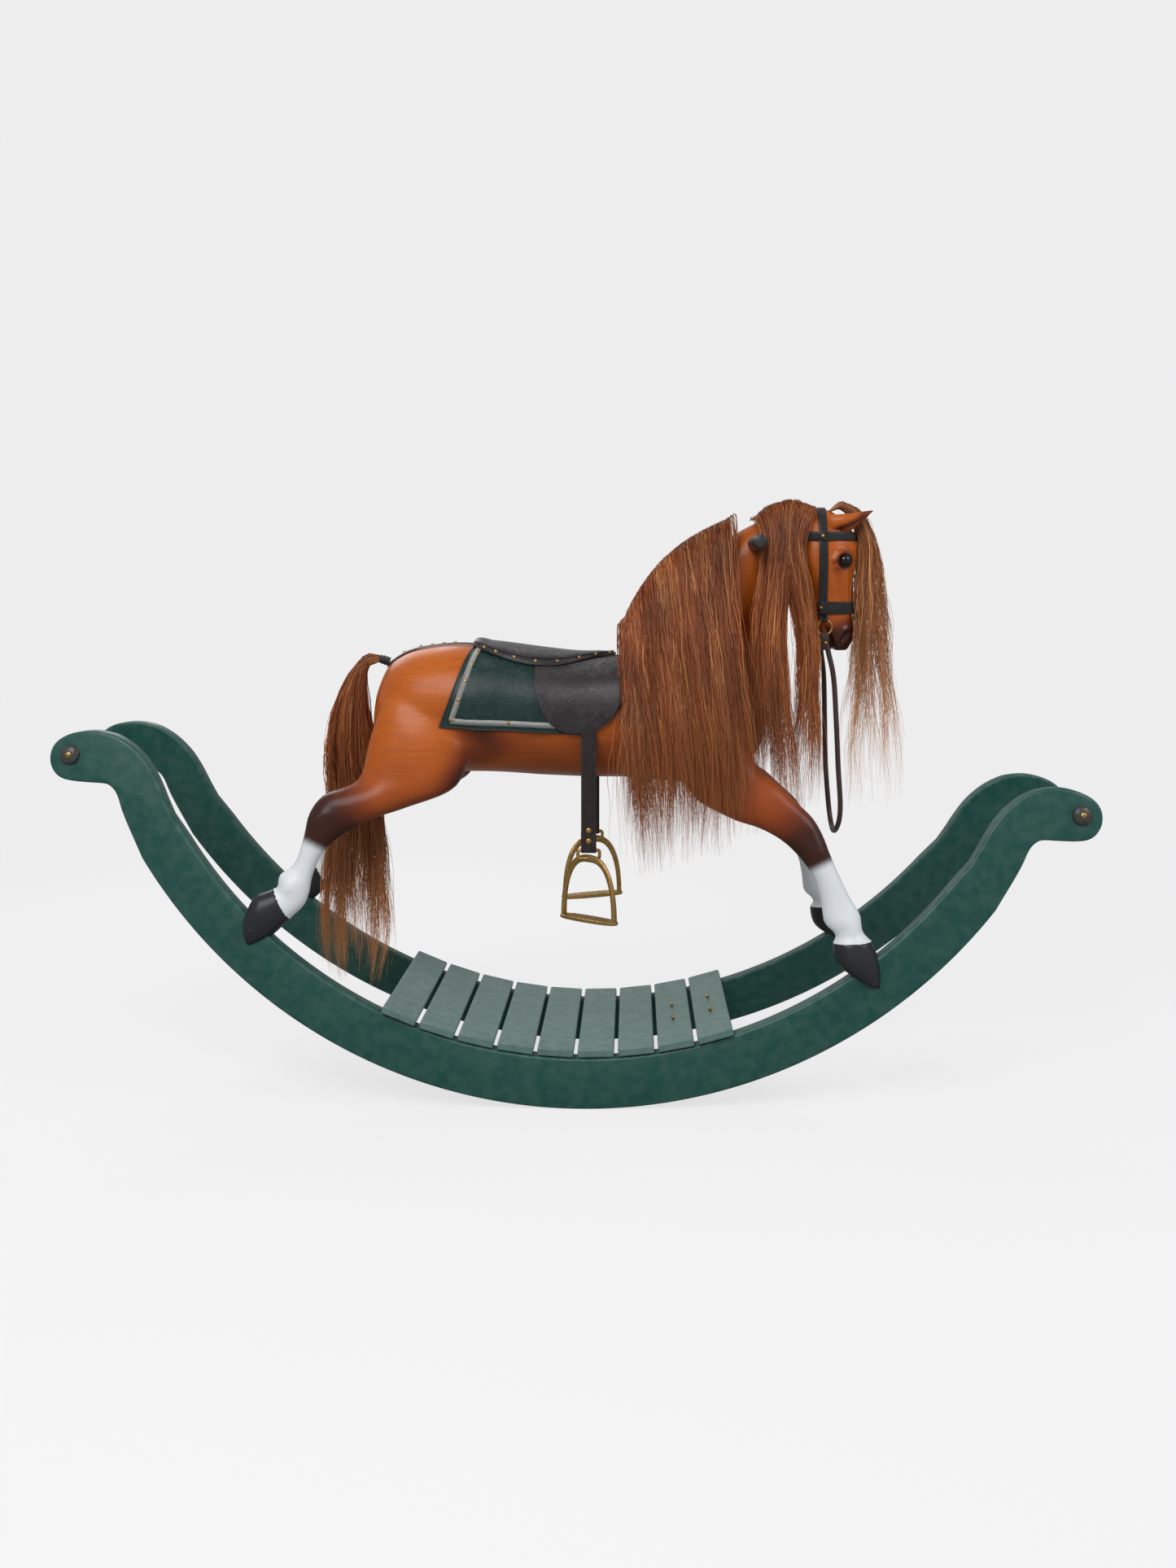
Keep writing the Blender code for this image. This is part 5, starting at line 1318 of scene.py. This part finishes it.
def on_head(x, z, side, lift):
    """The spot on the head's side at a point of its profile, a little clear of the wood."""
    spot, out, _, _ = horse_tree.ray_cast(Vector((x, side * 0.2, z)), Vector((0, -side, 0)))
    return spot + Vector((0, side, 0)) * lift, out


def round_head(z, angle, lift):
    """The spot on the head's front or side at a height, angle measured from straight ahead."""
    middle = Vector((0.430, 0.0, z))
    way = Vector((math.cos(angle), math.sin(angle), 0.0))
    spot, out, _, _ = horse_tree.ray_cast(middle + way * 0.2, -way)
    out = Vector((out.x, out.y, 0.0)).normalized()
    return spot + out * lift, out


cheek_heights = [0.8225 + (0.985 - 0.8225) * k / 34 for k in range(35)]
bm = bmesh.new()
stations = []
for z in cheek_heights:
    x = 0.4245 - 0.004 * (z - 0.8225) / 0.18
    near = [on_head(x + reach, z, 1, 0.0)[0].y for reach in (-0.0065, 0.0, 0.0065)]
    stations.append([x, max(near) + 0.0011, z])
for _ in range(4):
    for k in range(1, len(stations) - 1):
        stations[k][1] = max(stations[k][1], (stations[k - 1][1] + stations[k + 1][1]) / 2)
poll = []
for k in range(17):
    angle = math.radians(-62 + 124 * k / 16)
    way = Vector((0.0, math.sin(angle), math.cos(angle)))
    spot, _, _, _ = horse_tree.ray_cast(Vector((0.4205, 0.0, 0.965)) + way * 0.2, -way)
    poll.append((spot + way * 0.0014, way, Vector((1, 0, 0))))
left_cheek = [(Vector((x, y, z)), Vector((0, 1, 0)), Vector((1, 0, 0))) for x, y, z in stations if z < 0.972]
right_cheek = [(Vector((x, -y, z)), Vector((0, -1, 0)), Vector((1, 0, 0))) for x, y,
               z in stations if z < 0.972]
strap_over(bm, right_cheek + poll + left_cheek[::-1], 0.0076, BRIDLE_THICKNESS)
show("headpiece", bm, bridle_hide, stands_for=("bridle_headpiece",))
STUD = ((0.0031, -0.0006), (0.0032, 0.0004), (0.0027, 0.0012), (0.0018, 0.0019), (0.0007, 0.0022))
for name, z, span, half in (("browband", 0.9570, 140, 0.0076), ("noseband", 0.8355, 115, 0.0104)):
    bm = bmesh.new()
    ring = []
    for k in range(61):
        spot, out = round_head(z, math.radians(-span + 2 * span * k / 60), 0.0016)
        near_cheek = math.exp(-((spot.x - 0.4230) / 0.013) ** 2)
        ring.append((spot + out * 0.0036 * near_cheek, out, Vector((0, 0, 1))))
    strap_over(bm, ring, half, BRIDLE_THICKNESS)
    show(name + "_strap", bm, bridle_hide, stands_for=(name,))
    bm = bmesh.new()
    for side in (-1, 1):
        for x in (0.4225,) if name == "noseband" else (0.4215, 0.3830):
            best = min(ring, key=lambda s: abs(s[0].x - x) + (1 if s[0].y * side < 0 else 0))
            turned(bm, STUD, best[0] + best[1] * (BRIDLE_THICKNESS + 0.0002), best[1], 20)
    show(name + "_studs", bm, brass, smooth=60)

# Below the noseband each cheek ends in a folded tab that holds the bit ring under a brass stud.
RING_AT = (0.4270, 0.0405, 0.8020)
RING_SIZE, RING_WIRE = 0.0125, 0.0016
for label, side in SIDES:
    bm = bmesh.new()
    tube(bm, [(RING_AT[0] + RING_SIZE * math.cos(a), side * RING_AT[1], RING_AT[2] + RING_SIZE * math.sin(a))
              for a in (2 * math.pi * k / 60 for k in range(60))], RING_WIRE * 0.98, 12)
    loop = [f for f in bm.faces if len(f.verts) > 4]
    bmesh.ops.bridge_loops(bm, edges=[e for f in loop for e in f.edges])
    bmesh.ops.delete(bm, geom=[f for f in bm.faces if len(f.verts) > 4], context="FACES_ONLY")
    show("brass_ring_" + label, bm, brass, body="ring_" + label,
         stands_for=("bit_ring_" + label,), smooth=60)
    bm = bmesh.new()
    foot = stations[0][1]
    tab = [Vector((0.4245, side * (foot + 0.0006), 0.8330)),
           Vector((0.4248, side * (foot + 0.0016), 0.8240)),
           Vector((0.4255, side * 0.0420, 0.8175)), Vector((0.4258, side * 0.0437, 0.8140)),
           Vector((0.4255, side * 0.0405, 0.8112)), Vector((0.4250, side * 0.0375, 0.8145)),
           Vector((0.4248, side * (foot - 0.0010), 0.8225))]
    tab = flowing(tab, 5)
    strap_line = []
    for k, point in enumerate(tab):
        ahead = (tab[min(k + 1, len(tab) - 1)] - tab[max(k - 1, 0)]).normalized()
        strap_line.append((point, ahead.cross(Vector((1, 0, 0))) * side, Vector((1, 0, 0))))
    strap_over(bm, strap_line, 0.0056, 0.0014)
    show("ring_tab_" + label, bm, bridle_hide)

# The reins' flat ends: each is folded through its ring and closed by a stud.
for label, side in SIDES:
    bm = bmesh.new()
    line = flowing([(0.4290, side * 0.0428, 0.7640), (0.4282, side * 0.0436, 0.7760),
                    (0.4276, side * 0.0440, 0.7860),
                    (0.4272, side * 0.0405, 0.7925), (0.4276, side * 0.0366, 0.7860),
                    (0.4282, side * 0.0374, 0.7760),
                    (0.4290, side * 0.0384, 0.7640)], 6)
    fold = []
    for k, point in enumerate(line):
        ahead = (line[min(k + 1, len(line) - 1)] - line[max(k - 1, 0)]).normalized()
        fold.append((point, ahead.cross(Vector((1, 0, 0))) * side, Vector((1, 0, 0))))
    strap_over(bm, fold, 0.0062, 0.0013)
    show("rein_end_" + label, bm, rein_leather, body="rein_cord")
    bm = bmesh.new()
    turned(bm, STUD, Vector((0.4285, side * 0.0450, 0.7755)), Vector((0, side, 0)), 20)
    show("rein_stud_" + label, bm, brass, body="rein_cord", smooth=60)

# ---- Stirrup leathers -------------------------------------------------------------------------------
# A doubled strap of dark brown leather, sewn along both edges and riveted twice above the iron's bar.
strap_hide = grained_leather("brown_strap_hide", (0.034, 0.020, 0.018), (0.070, 0.045, 0.040), 480.0,
                             0.0005, 0.30)
thread, tree, shader, place = surface("waxed_thread", 0.6)
two_toned(tree, shader, cloudy(tree, place, 900.0), 0.3, 0.7, (0.05, 0.035, 0.028), (0.12, 0.09, 0.07))
STRAP_X, STRAP_Y, STRAP_HALF = 0.023, 0.1106, 0.013
STRAP_BEND, BAR_Z = 0.6172, 0.4235
STRAP_RIVET = ((0.0048, -0.0006), (0.0050, 0.0006), (0.0044, 0.0016), (0.0028, 0.0022), (0.0010, 0.0024))
for label, side in SIDES:
    y = side * STRAP_Y
    bm = bmesh.new()
    outer = [(0.0012, 0.6428), (0.0012, 0.632)] + [(0.0012, 0.6225 - 0.0025 * k) for k in range(5)]
    outer += [(0.0012 + 0.0005 * math.sin(k), 0.600 - 0.0147 * k) for k in range(10)]
    outer += [(0.0026, 0.450), (0.0042, 0.438), (0.0052, 0.430)]
    under = [math.radians(-20 * k) for k in range(10)]
    outer += [(0.0052 * math.cos(a), BAR_Z + 0.0052 * math.sin(a)) for a in under]
    outer += [(-0.0046, 0.431), (-0.0026, 0.440), (-0.0014, 0.452), (-0.0010, 0.470)]
    outer += [(-0.0010, 0.490 + 0.0150 * k) for k in range(9)] + [(-0.0010, 0.6225), (-0.0010, 0.6320),
                                                                  (-0.0010, 0.6426)]
    line = flowing([(STRAP_X, y + side * a, b) for a, b in outer], 3)
    fold = []
    for k, point in enumerate(line):
        ahead = (line[min(k + 1, len(line) - 1)] - line[max(k - 1, 0)]).normalized()
        fold.append((point, Vector((1, 0, 0)).cross(ahead) * side * -1, Vector((1, 0, 0))))
    strap_over(bm, fold, STRAP_HALF, 0.0013)
    folded = show("folded_strap_" + label, bm, strap_hide, body=None,
                  stands_for=("stirrup_leather_top_" + label, "stirrup_leather_" + label))
    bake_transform(folded)
    bm = bmesh.new()
    for across in (-0.0105, 0.0105):
        z = 0.606
        while z > 0.452:
            tube(bm, [(STRAP_X + across, y + side * 0.0022, z),
                      (STRAP_X + across, y + side * 0.0030, z - 0.0010),
                      (STRAP_X + across, y + side * 0.0030, z - 0.0026),
                      (STRAP_X + across, y + side * 0.0022, z - 0.0036)],
                 0.00042, 5)
            z -= 0.0048
    show("strap_stitching_" + label, bm, thread, body="leather_" + label)
    bm = bmesh.new()
    for z in (0.4575, 0.4395):
        for face in (-1, 1):
            seat = Vector((STRAP_X, y + face * (0.0034 if z > 0.45 else 0.0050), z))
            turned(bm, STRAP_RIVET, seat, Vector((0, face, 0)), 24)
    show("strap_rivets_" + label, bm, brass, body="leather_" + label, smooth=60)

# ---- Stirrup irons ----------------------------------------------------------------------------------
# Cast brass: a squared eye for the strap, an arch that flattens as it comes down, and a flat oval tread.
TREAD_Z, IRON_HALF = 0.303, 0.056


def squared_off(value, power):
    """Squares a circle's sine or cosine off into a rounded box's."""
    return math.copysign(abs(value) ** power, value)


for (label, side), toe in zip(SIDES, (-38, 27)):
    turned_out = Matrix.Rotation(math.radians(toe), 4, "Z")
    place_iron = Matrix.Translation((STRAP_X, side * STRAP_Y, 0)) @ turned_out
    bm = bmesh.new()
    arch = []
    for k in range(65):
        angle = math.pi * k / 64
        across = IRON_HALF * squared_off(math.cos(angle), 0.75)
        arch.append(Vector((across, 0, TREAD_Z + (BAR_Z - 0.0145 - TREAD_Z) * math.sin(angle) ** 0.9)))
    rings = []
    for k, point in enumerate(arch):
        ahead = (arch[min(k + 1, 64)] - arch[max(k - 1, 0)]).normalized()
        out = Vector((ahead.z, 0, -ahead.x))
        low = abs(k - 32) / 32
        wide, thick = 0.0032 + 0.0026 * low ** 3, 0.0068 - 0.0034 * low ** 0.8
        rings.append([bm.verts.new(point + Vector((0, 1, 0)) * wide * squared_off(math.cos(a), 0.7)
                                   + out * thick * squared_off(math.sin(a), 0.7))
                      for a in (2 * math.pi * j / 16 for j in range(16))])
    faces = [bm.faces.new(rings[0]), bm.faces.new(rings[-1])]
    for near, far in zip(rings, rings[1:]):
        for j in range(16):
            faces.append(bm.faces.new((near[j], near[(j + 1) % 16], far[(j + 1) % 16], far[j])))
    tread = []
    for z, grow in ((-0.0031, -0.0012), (-0.0024, -0.0003), (0.0010, 0.0), (0.0024, -0.0004),
                    (0.0030, -0.0014), (0.0031, -0.0030)):
        tread.append([bm.verts.new(((IRON_HALF + 0.006 + grow) * squared_off(math.cos(a), 0.8),
                                    (0.0165 + grow) * squared_off(math.sin(a), 0.8), TREAD_Z + z))
                      for a in (2 * math.pi * j / 48 for j in range(48))])
    faces += [bm.faces.new(tread[0]), bm.faces.new(tread[-1])]
    for near, far in zip(tread, tread[1:]):
        for j in range(48):
            faces.append(bm.faces.new((near[j], near[(j + 1) % 48], far[(j + 1) % 48], far[j])))
    for rib in range(-4, 5):
        tube(bm, [(rib * 0.0100, -0.0120 + 0.0012 * abs(rib) * 0.3, TREAD_Z + 0.0030),
                  (rib * 0.0100, 0.0120 - 0.0012 * abs(rib) * 0.3, TREAD_Z + 0.0030)], 0.0011, 8)
    bmesh.ops.recalc_face_normals(bm, faces=faces)
    bm.transform(place_iron)
    eye_half, eye_low, corner = 0.0185, BAR_Z - 0.0145, 0.004
    eye = []
    for x_sign, z, start in ((1, eye_low, -90), (1, BAR_Z, 0), (-1, BAR_Z, 90), (-1, eye_low, 180)):
        middle_z = z + corner if z == eye_low else z - corner
        for k in range(6):
            angle = math.radians(start + 18 * k)
            eye.append((STRAP_X + x_sign * (eye_half - corner) + corner * math.cos(angle), side * STRAP_Y,
                        middle_z + corner * math.sin(angle)))
    eye.append(eye[0])
    tube(bm, eye, 0.0030, 12)
    show("brass_iron_" + label, bm, brass, body="iron_" + label,
         stands_for=("stirrup_iron_" + label,), smooth=40)

# ---- Platform pins ----------------------------------------------------------------------------------
# Four brass pins with small round heads stand in the last two slats, spares for the hoof plugs.
for index, (slat, across) in enumerate(((7, 0.015), (7, -0.070), (8, 0.015), (8, -0.070))):
    angle = (slat - (SLATS - 1) / 2) * SLAT_PITCH / (BOW_INNER - SLAT_THICKNESS / 2)
    radius = BOW_INNER - 0.0012 - SLAT_THICKNESS - 0.0003
    bm = bmesh.new()
    turned(bm, ((0.0022, 0.0), (0.0022, 0.0034), (0.0030, 0.0039), (0.0034, 0.0047), (0.0034, 0.0056),
                (0.0030, 0.0065), (0.0021, 0.0072), (0.0009, 0.0075)),
           Vector((radius * math.sin(angle), across, -radius * math.cos(angle))),
           Vector((-math.sin(angle), 0, math.cos(angle))), 24)
    bm.transform(BOW_FRAME)
    show("brass_pin_" + str(index + 1), bm, brass,
         stands_for=("platform_pin_" + str(index + 1),), smooth=60)

# ---- Horsehair --------------------------------------------------------------------------------------
# Mane, forelock and tail are real brown horsehair, sewn in hanks along a strip and nailed to the crest,
# combed to the near side. Each lock is made of hanks of fine strands that gather and fray to their tips.
# A lock's stations give its rear edge (x, z), its front edge (x, z), y of its middle, half thickness.
MANE_REAR = (
    ((0.086, 0.8190), (0.256, 0.9820), -0.004, 0.007),
    ((0.0835, 0.818), (0.260, 0.9850), -0.034, 0.010),
    ((0.083, 0.795), (0.261, 0.960), -0.064, 0.012),
    ((0.083, 0.745), (0.262, 0.900), -0.084, 0.013),
    ((0.084, 0.680), (0.268, 0.810), -0.106, 0.014),
    ((0.086, 0.610), (0.284, 0.700), -0.128, 0.015),
    ((0.092, 0.510), (0.302, 0.570), -0.139, 0.016),
    ((0.100, 0.375), (0.300, 0.425), -0.142, 0.014),
)
MANE_POLL = (
    ((0.308, 0.9880), (0.366, 1.0100), -0.004, 0.006),
    ((0.309, 0.9900), (0.372, 1.0140), -0.032, 0.008),
    ((0.318, 0.960), (0.374, 0.955), -0.056, 0.010),
    ((0.313, 0.870), (0.358, 0.880), -0.067, 0.011),
    ((0.304, 0.790), (0.352, 0.790), -0.076, 0.013),
    ((0.300, 0.665), (0.362, 0.675), -0.092, 0.016),
    ((0.302, 0.560), (0.374, 0.555), -0.102, 0.018),
    ((0.306, 0.430), (0.384, 0.440), -0.106, 0.017),
)
MANE_CHEEK = (
    ((0.346, 1.0080), (0.398, 1.0050), -0.004, 0.006),
    ((0.350, 1.0120), (0.404, 1.0060), -0.030, 0.008),
    ((0.354, 0.955), (0.384, 0.945), -0.056, 0.009),
    ((0.358, 0.880), (0.394, 0.870), -0.064, 0.009),
    ((0.377, 0.795), (0.408, 0.790), -0.069, 0.009),
    ((0.378, 0.679), (0.412, 0.679), -0.074, 0.010),
    ((0.362, 0.570), (0.418, 0.570), -0.077, 0.012),
    ((0.345, 0.462), (0.416, 0.470), -0.080, 0.014),
)
FORELOCK = (
    ((0.4340, 1.0000), (0.4400, 1.0040), 0.000, 0.012),
    ((0.4520, 1.0080), (0.4560, 1.0150), 0.000, 0.016),
    ((0.4760, 0.9900), (0.4900, 1.0000), 0.000, 0.020),
    ((0.4890, 0.9480), (0.5130, 0.9520), 0.000, 0.024),
    ((0.4860, 0.8800), (0.5270, 0.8850), 0.000, 0.028),
    ((0.4790, 0.7750), (0.5410, 0.7750), -0.002, 0.031),
    ((0.4730, 0.6650), (0.5570, 0.6650), -0.004, 0.032),
    ((0.4680, 0.5600), (0.5710, 0.5600), -0.006, 0.030),
    ((0.4660, 0.4700), (0.5790, 0.4800), -0.008, 0.026),
)
TAIL_FALL = (
    ((-0.3500, 0.7420), (-0.3505, 0.7510), 0.000, 0.005),
    ((-0.3700, 0.7370), (-0.3740, 0.7500), 0.000, 0.010),
    ((-0.3790, 0.7120), (-0.4010, 0.7220), 0.000, 0.015),
    ((-0.3770, 0.6650), (-0.4230, 0.6740), 0.000, 0.020),
    ((-0.3700, 0.6000), (-0.4400, 0.6050), 0.000, 0.024),
    ((-0.3560, 0.4700), (-0.4400, 0.4700), 0.000, 0.027),
    ((-0.3460, 0.3500), (-0.4510, 0.3500), 0.000, 0.028),
    ((-0.3420, 0.2450), (-0.4630, 0.2450), 0.000, 0.026),
    ((-0.3700, 0.1450), (-0.4450, 0.1500), 0.000, 0.020),
)


def along_stations(stations, t):
    """Smooth station values at each t, from 0 at the root to 1 at the tip."""
    rows = np.array([(*a, *b, y, half) for a, b, y, half in stations])
    heights = (rows[:, 1] + rows[:, 3]) / 2
    widths = (rows[:, 0] + rows[:, 2]) / 2
    steps = np.hypot(np.diff(heights), np.diff(widths)) + np.abs(np.diff(rows[:, 4]))
    knots = np.concatenate(([0.0], np.cumsum(steps)))
    knots /= knots[-1]
    slopes = np.gradient(rows, knots, axis=0)
    k = np.clip(np.searchsorted(knots, t, side="right") - 1, 0, len(knots) - 2)
    gap = knots[k + 1] - knots[k]
    s = np.clip((t - knots[k]) / gap, 0, 1)[..., None]
    gap = gap[..., None]
    return ((2 * s ** 3 - 3 * s ** 2 + 1) * rows[k] + (s ** 3 - 2 * s ** 2 + s) * gap * slopes[k]
            + (3 * s ** 2 - 2 * s ** 3) * rows[k + 1] + (s ** 3 - s ** 2) * gap * slopes[k + 1])


def strands_of(stations, seed, count, hanks, steps=14, gather=0.55, wave=0.0035, fray=0.36, stray=0.05,
               share=(-1.0, 1.0), swell=0.0):
    """Points and tones of a lock's strands, as arrays of count by steps + 1."""
    rng = np.random.default_rng(seed)
    hank_at = rng.uniform(share[0], share[1], hanks)
    hank_deep = rng.uniform(-1, 1, hanks)
    hank_end = 1 - fray * rng.random(hanks) ** 0.9
    hank_phase = rng.uniform(0, 2 * np.pi, (3, hanks))
    hank_drift = rng.normal(0, 0.10, hanks)
    hank_tone = rng.random(hanks)
    which = rng.integers(0, hanks, count)
    at = hank_at[which] + rng.normal(0, 1.0 / hanks ** 0.5, count)
    deep = np.clip(hank_deep[which] + rng.normal(0, 0.45, count), -1.15, 1.15)
    end = hank_end[which] * (1 - 0.45 * rng.random(count) ** 2.2)
    loose = rng.random(count) < stray
    t = np.linspace(0, 1, steps + 1)[None, :] ** 1.15 * end[:, None]
    pull = gather * np.clip((t - 0.12) / 0.88, 0, 1) ** 0.8
    at_t = at[:, None] + (hank_at[which] - at)[:, None] * pull + hank_drift[which][:, None] * t ** 1.5
    at_t += (rng.normal(0, 0.035, count) + loose * rng.normal(0, 0.18, count))[:, None] * t ** 2
    deep_t = deep[:, None] * (1 - 0.4 * pull) + loose[:, None] * 0.8 * t
    rows = along_stations(stations, t)
    rear, front = rows[..., 0:2], rows[..., 2:4]
    flat = rear + (front - rear) * ((at_t + 1) / 2)[..., None]
    grow = wave * np.clip(t * 3, 0, 1)
    swing = np.sin(2 * np.pi * 1.7 * t + hank_phase[0][which][:, None]) + 0.7 * np.sin(
        2 * np.pi * 4.3 * t + hank_phase[1][which][:, None] + rng.normal(0, 0.9, count)[:, None])
    frizz = rng.normal(0, 1, (count, steps + 1)) * 0.0011 * np.clip(t * 4, 0, 1)
    x = flat[..., 0] + grow * swing * 0.8 + frizz + loose[:,
                                                          None] * grow * 2 * np.sin(3 * t + at[:, None] * 9)
    rounding = np.sqrt(np.clip(1 - 0.6 * at_t ** 2, 0.1, 1))
    y = rows[..., 4] + rows[..., 5] * deep_t * rounding
    y += grow * 0.7 * np.sin(2 * np.pi * 2.3 * t + hank_phase[2][which][:, None])
    root = np.exp(-((t / 0.05) ** 2)) - 0.8 * np.exp(-((t / 0.008) ** 2))
    lift = np.exp(-((t / 0.30) ** 2)) - 1.7 * np.exp(-((t / 0.025) ** 2))
    crown = swell * np.clip(1 - at_t ** 2, 0, 1) * lift
    x -= crown * 0.7
    z = flat[..., 1] + root * rng.random(count)[:, None] ** 2 * 0.006 + crown * 0.7
    z += rng.normal(0, 1, (count, steps + 1)) * 0.0003
    tone = np.clip(0.45 * hank_tone[which] + 0.55 * rng.random(count), 0, 1)[:, None] + 0 * t
    return np.stack((x, y, z), axis=-1), tone, t


def hair_piece(name, strands, finish, body, stands_for=(), width=0.0012, seed=1):
    """A piece of many strands: each is a fine ridge, three points across, that tapers to its tip."""
    rng = np.random.default_rng(seed)
    places = np.concatenate([s[0] for s in strands])
    tone = np.concatenate([s[1] for s in strands])
    along = np.concatenate([s[2] for s in strands])
    count, points = tone.shape
    ahead = np.gradient(places, axis=1)
    ahead /= np.linalg.norm(ahead, axis=-1, keepdims=True) + 1e-12
    twist = rng.uniform(-1.2, 1.2, count)[:, None]
    facing = np.stack((np.sin(twist) + 0 * tone, -np.cos(twist) + 0 * tone, 0 * tone), axis=-1)
    across = np.cross(ahead, facing)
    across /= np.linalg.norm(across, axis=-1, keepdims=True) + 1e-12
    outward = np.cross(across, ahead)
    way = np.linspace(0, 1, points)[None, :]
    half = 0.5 * width * (0.55 + 0.9 * rng.random(count))[:, None] * np.clip(1.05 - way ** 3, 0.12, 1)
    half = half[..., None]
    grid = np.stack((places - across * half, places + outward * half * 0.8, places + across * half), axis=2)
    corner = np.arange(count * points * 3).reshape(count, points, 3)
    quads = np.stack((corner[:, :-1, :-1], corner[:, :-1, 1:], corner[:, 1:, 1:], corner[:, 1:, :-1]),
                     axis=-1)
    quads = quads.reshape(-1, 4)
    mesh = bpy.data.meshes.new(name)
    mesh.vertices.add(grid.size // 3)
    mesh.vertices.foreach_set("co", grid.ravel())
    mesh.loops.add(quads.size)
    mesh.loops.foreach_set("vertex_index", quads.ravel().astype(np.int32))
    mesh.polygons.add(len(quads))
    mesh.polygons.foreach_set("loop_start", np.arange(0, quads.size, 4, dtype=np.int32))
    mesh.update(calc_edges=True)
    for label, values in (("tone", tone), ("along", along)):
        layer = mesh.attributes.new(label, "FLOAT", "POINT")
        layer.data.foreach_set("value", np.repeat(values.ravel(), 3).astype(np.float32))
    mesh.shade_smooth()
    piece = bpy.data.objects.new(name, mesh)
    bpy.context.scene.collection.objects.link(piece)
    mesh.materials.append(finish)
    if stands_for:
        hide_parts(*stands_for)
    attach(piece, body)
    return piece


def horsehair(name, dark, middle, gold, tip, tip_share=0.7):
    """Brown hair: each strand has its own depth of brown, golden ones among them, and paler tips."""
    finish, tree, shader, place = surface(name, 0.42)
    shader.inputs["Specular IOR Level"].default_value = 0.35
    tone = attribute(tree, "tone")
    along = attribute(tree, "along")
    patches = cloudy(tree, stretched(tree, place, 14.0, 14.0, 3.5), 1.0, 2.0)
    colour = mixed(tree, between(tree, tone, 0.05, 0.50), dark, middle)
    colour = mixed(tree, between(tree, tone, 0.62, 0.88, 0.0, 0.95), colour, gold)
    colour = mixed(tree, between(tree, patches, 0.35, 0.7, 0.0, 0.45), colour, dark)
    colour = mixed(tree, between(tree, along, 0.35, 1.0, 0.0, tip_share), colour, tip)
    wire(tree, shader.inputs["Base Color"], colour)
    light = tree.nodes.new("ShaderNodeBsdfTranslucent")
    wire(tree, light.inputs["Color"], mixed(tree, 0.5, colour, gold))
    both = tree.nodes.new("ShaderNodeMixShader")
    both.inputs[0].default_value = 0.22
    wire(tree, both.inputs[1], shader.outputs[0])
    wire(tree, both.inputs[2], light.outputs[0])
    wire(tree, tree.nodes["Material Output"].inputs["Surface"], both.outputs[0])
    return finish


DARK_HAIR, BROWN_HAIR, GOLD_HAIR = (0.070, 0.020, 0.007), (0.42, 0.110, 0.032), (0.95, 0.42, 0.15)
mane_hair = horsehair("brown_mane_hair", DARK_HAIR, BROWN_HAIR, GOLD_HAIR, (0.44, 0.17, 0.065))
forelock_hair = horsehair("forelock_hair", (0.13, 0.045, 0.018), (0.50, 0.185, 0.068), (0.95, 0.52, 0.23),
                          (0.92, 0.54, 0.29), 0.9)
tail_colour = horsehair("brown_tail_hair", (0.08, 0.023, 0.008), (0.42, 0.115, 0.035), (0.95, 0.42, 0.15),
                        (0.85, 0.42, 0.18))
hair_piece("mane_fall_rear", [strands_of(MANE_REAR, 11, 3500, 150, share=(-0.97, 0.05), swell=0.030)],
           mane_hair, "horse",
           ("mane_rear",), seed=12)
hair_piece("mane_fall_middle", [strands_of(MANE_REAR, 21, 3300, 140, share=(-0.05, 0.93), swell=0.030)],
           mane_hair, "horse",
           seed=22)
hair_piece("mane_fall_front", [strands_of(MANE_POLL, 31, 1800, 60, fray=0.34, gather=0.45, swell=0.012),
                               strands_of(MANE_CHEEK, 41, 950, 40, fray=0.30, stray=0.08, gather=0.45,
                                          swell=0.014)], mane_hair, "horse",
           ("mane_front",), seed=32)
hair_piece("forelock_fall", [strands_of(FORELOCK, 51, 560, 52, fray=0.36, stray=0.09, gather=0.66,
                                        wave=0.0055)],
           forelock_hair, "horse", ("forelock",), width=0.0009, seed=52)
hair_piece("tail_fall", [strands_of(TAIL_FALL, 61, 2500, 80, steps=14, fray=0.38, stray=0.06, wave=0.0050)],
           tail_colour, "tail_hair", ("tail",), seed=62)

# ---- Tail wrap --------------------------------------------------------------------------------------
# Black leather bound round the root of the tail and stitched, where the strap's end meets it.
WRAP = (((-0.3345, 0.7335), (-0.3312, 0.7485), 0.0, 0.0082),
        ((-0.3385, 0.7348), (-0.3365, 0.7505), 0.0, 0.0088),
        ((-0.3430, 0.7363), (-0.3425, 0.7522), 0.0, 0.0085),
        ((-0.3475, 0.7380), (-0.3475, 0.7530), 0.0, 0.0078),
        ((-0.3515, 0.7395), (-0.3518, 0.7533), 0.0, 0.0068))
bm = bmesh.new()
skin_over(bm, WRAP, 1, 28, 7)
wrap = show("bound_tail_wrap", bm, saddle_black, body="tail_sleeve",
            stands_for=("tail_wrap",))
points, outward = points_of(wrap.data), normals_of(wrap.data)
winding = np.sin((points[:, 0] * 1.0 - points[:, 1] * 0.18) * 2 * np.pi / 0.0052)
wrap.data.vertices.foreach_set("co", (points + outward * (0.0005 * winding)[:, None]).ravel())
wrap.data.update()
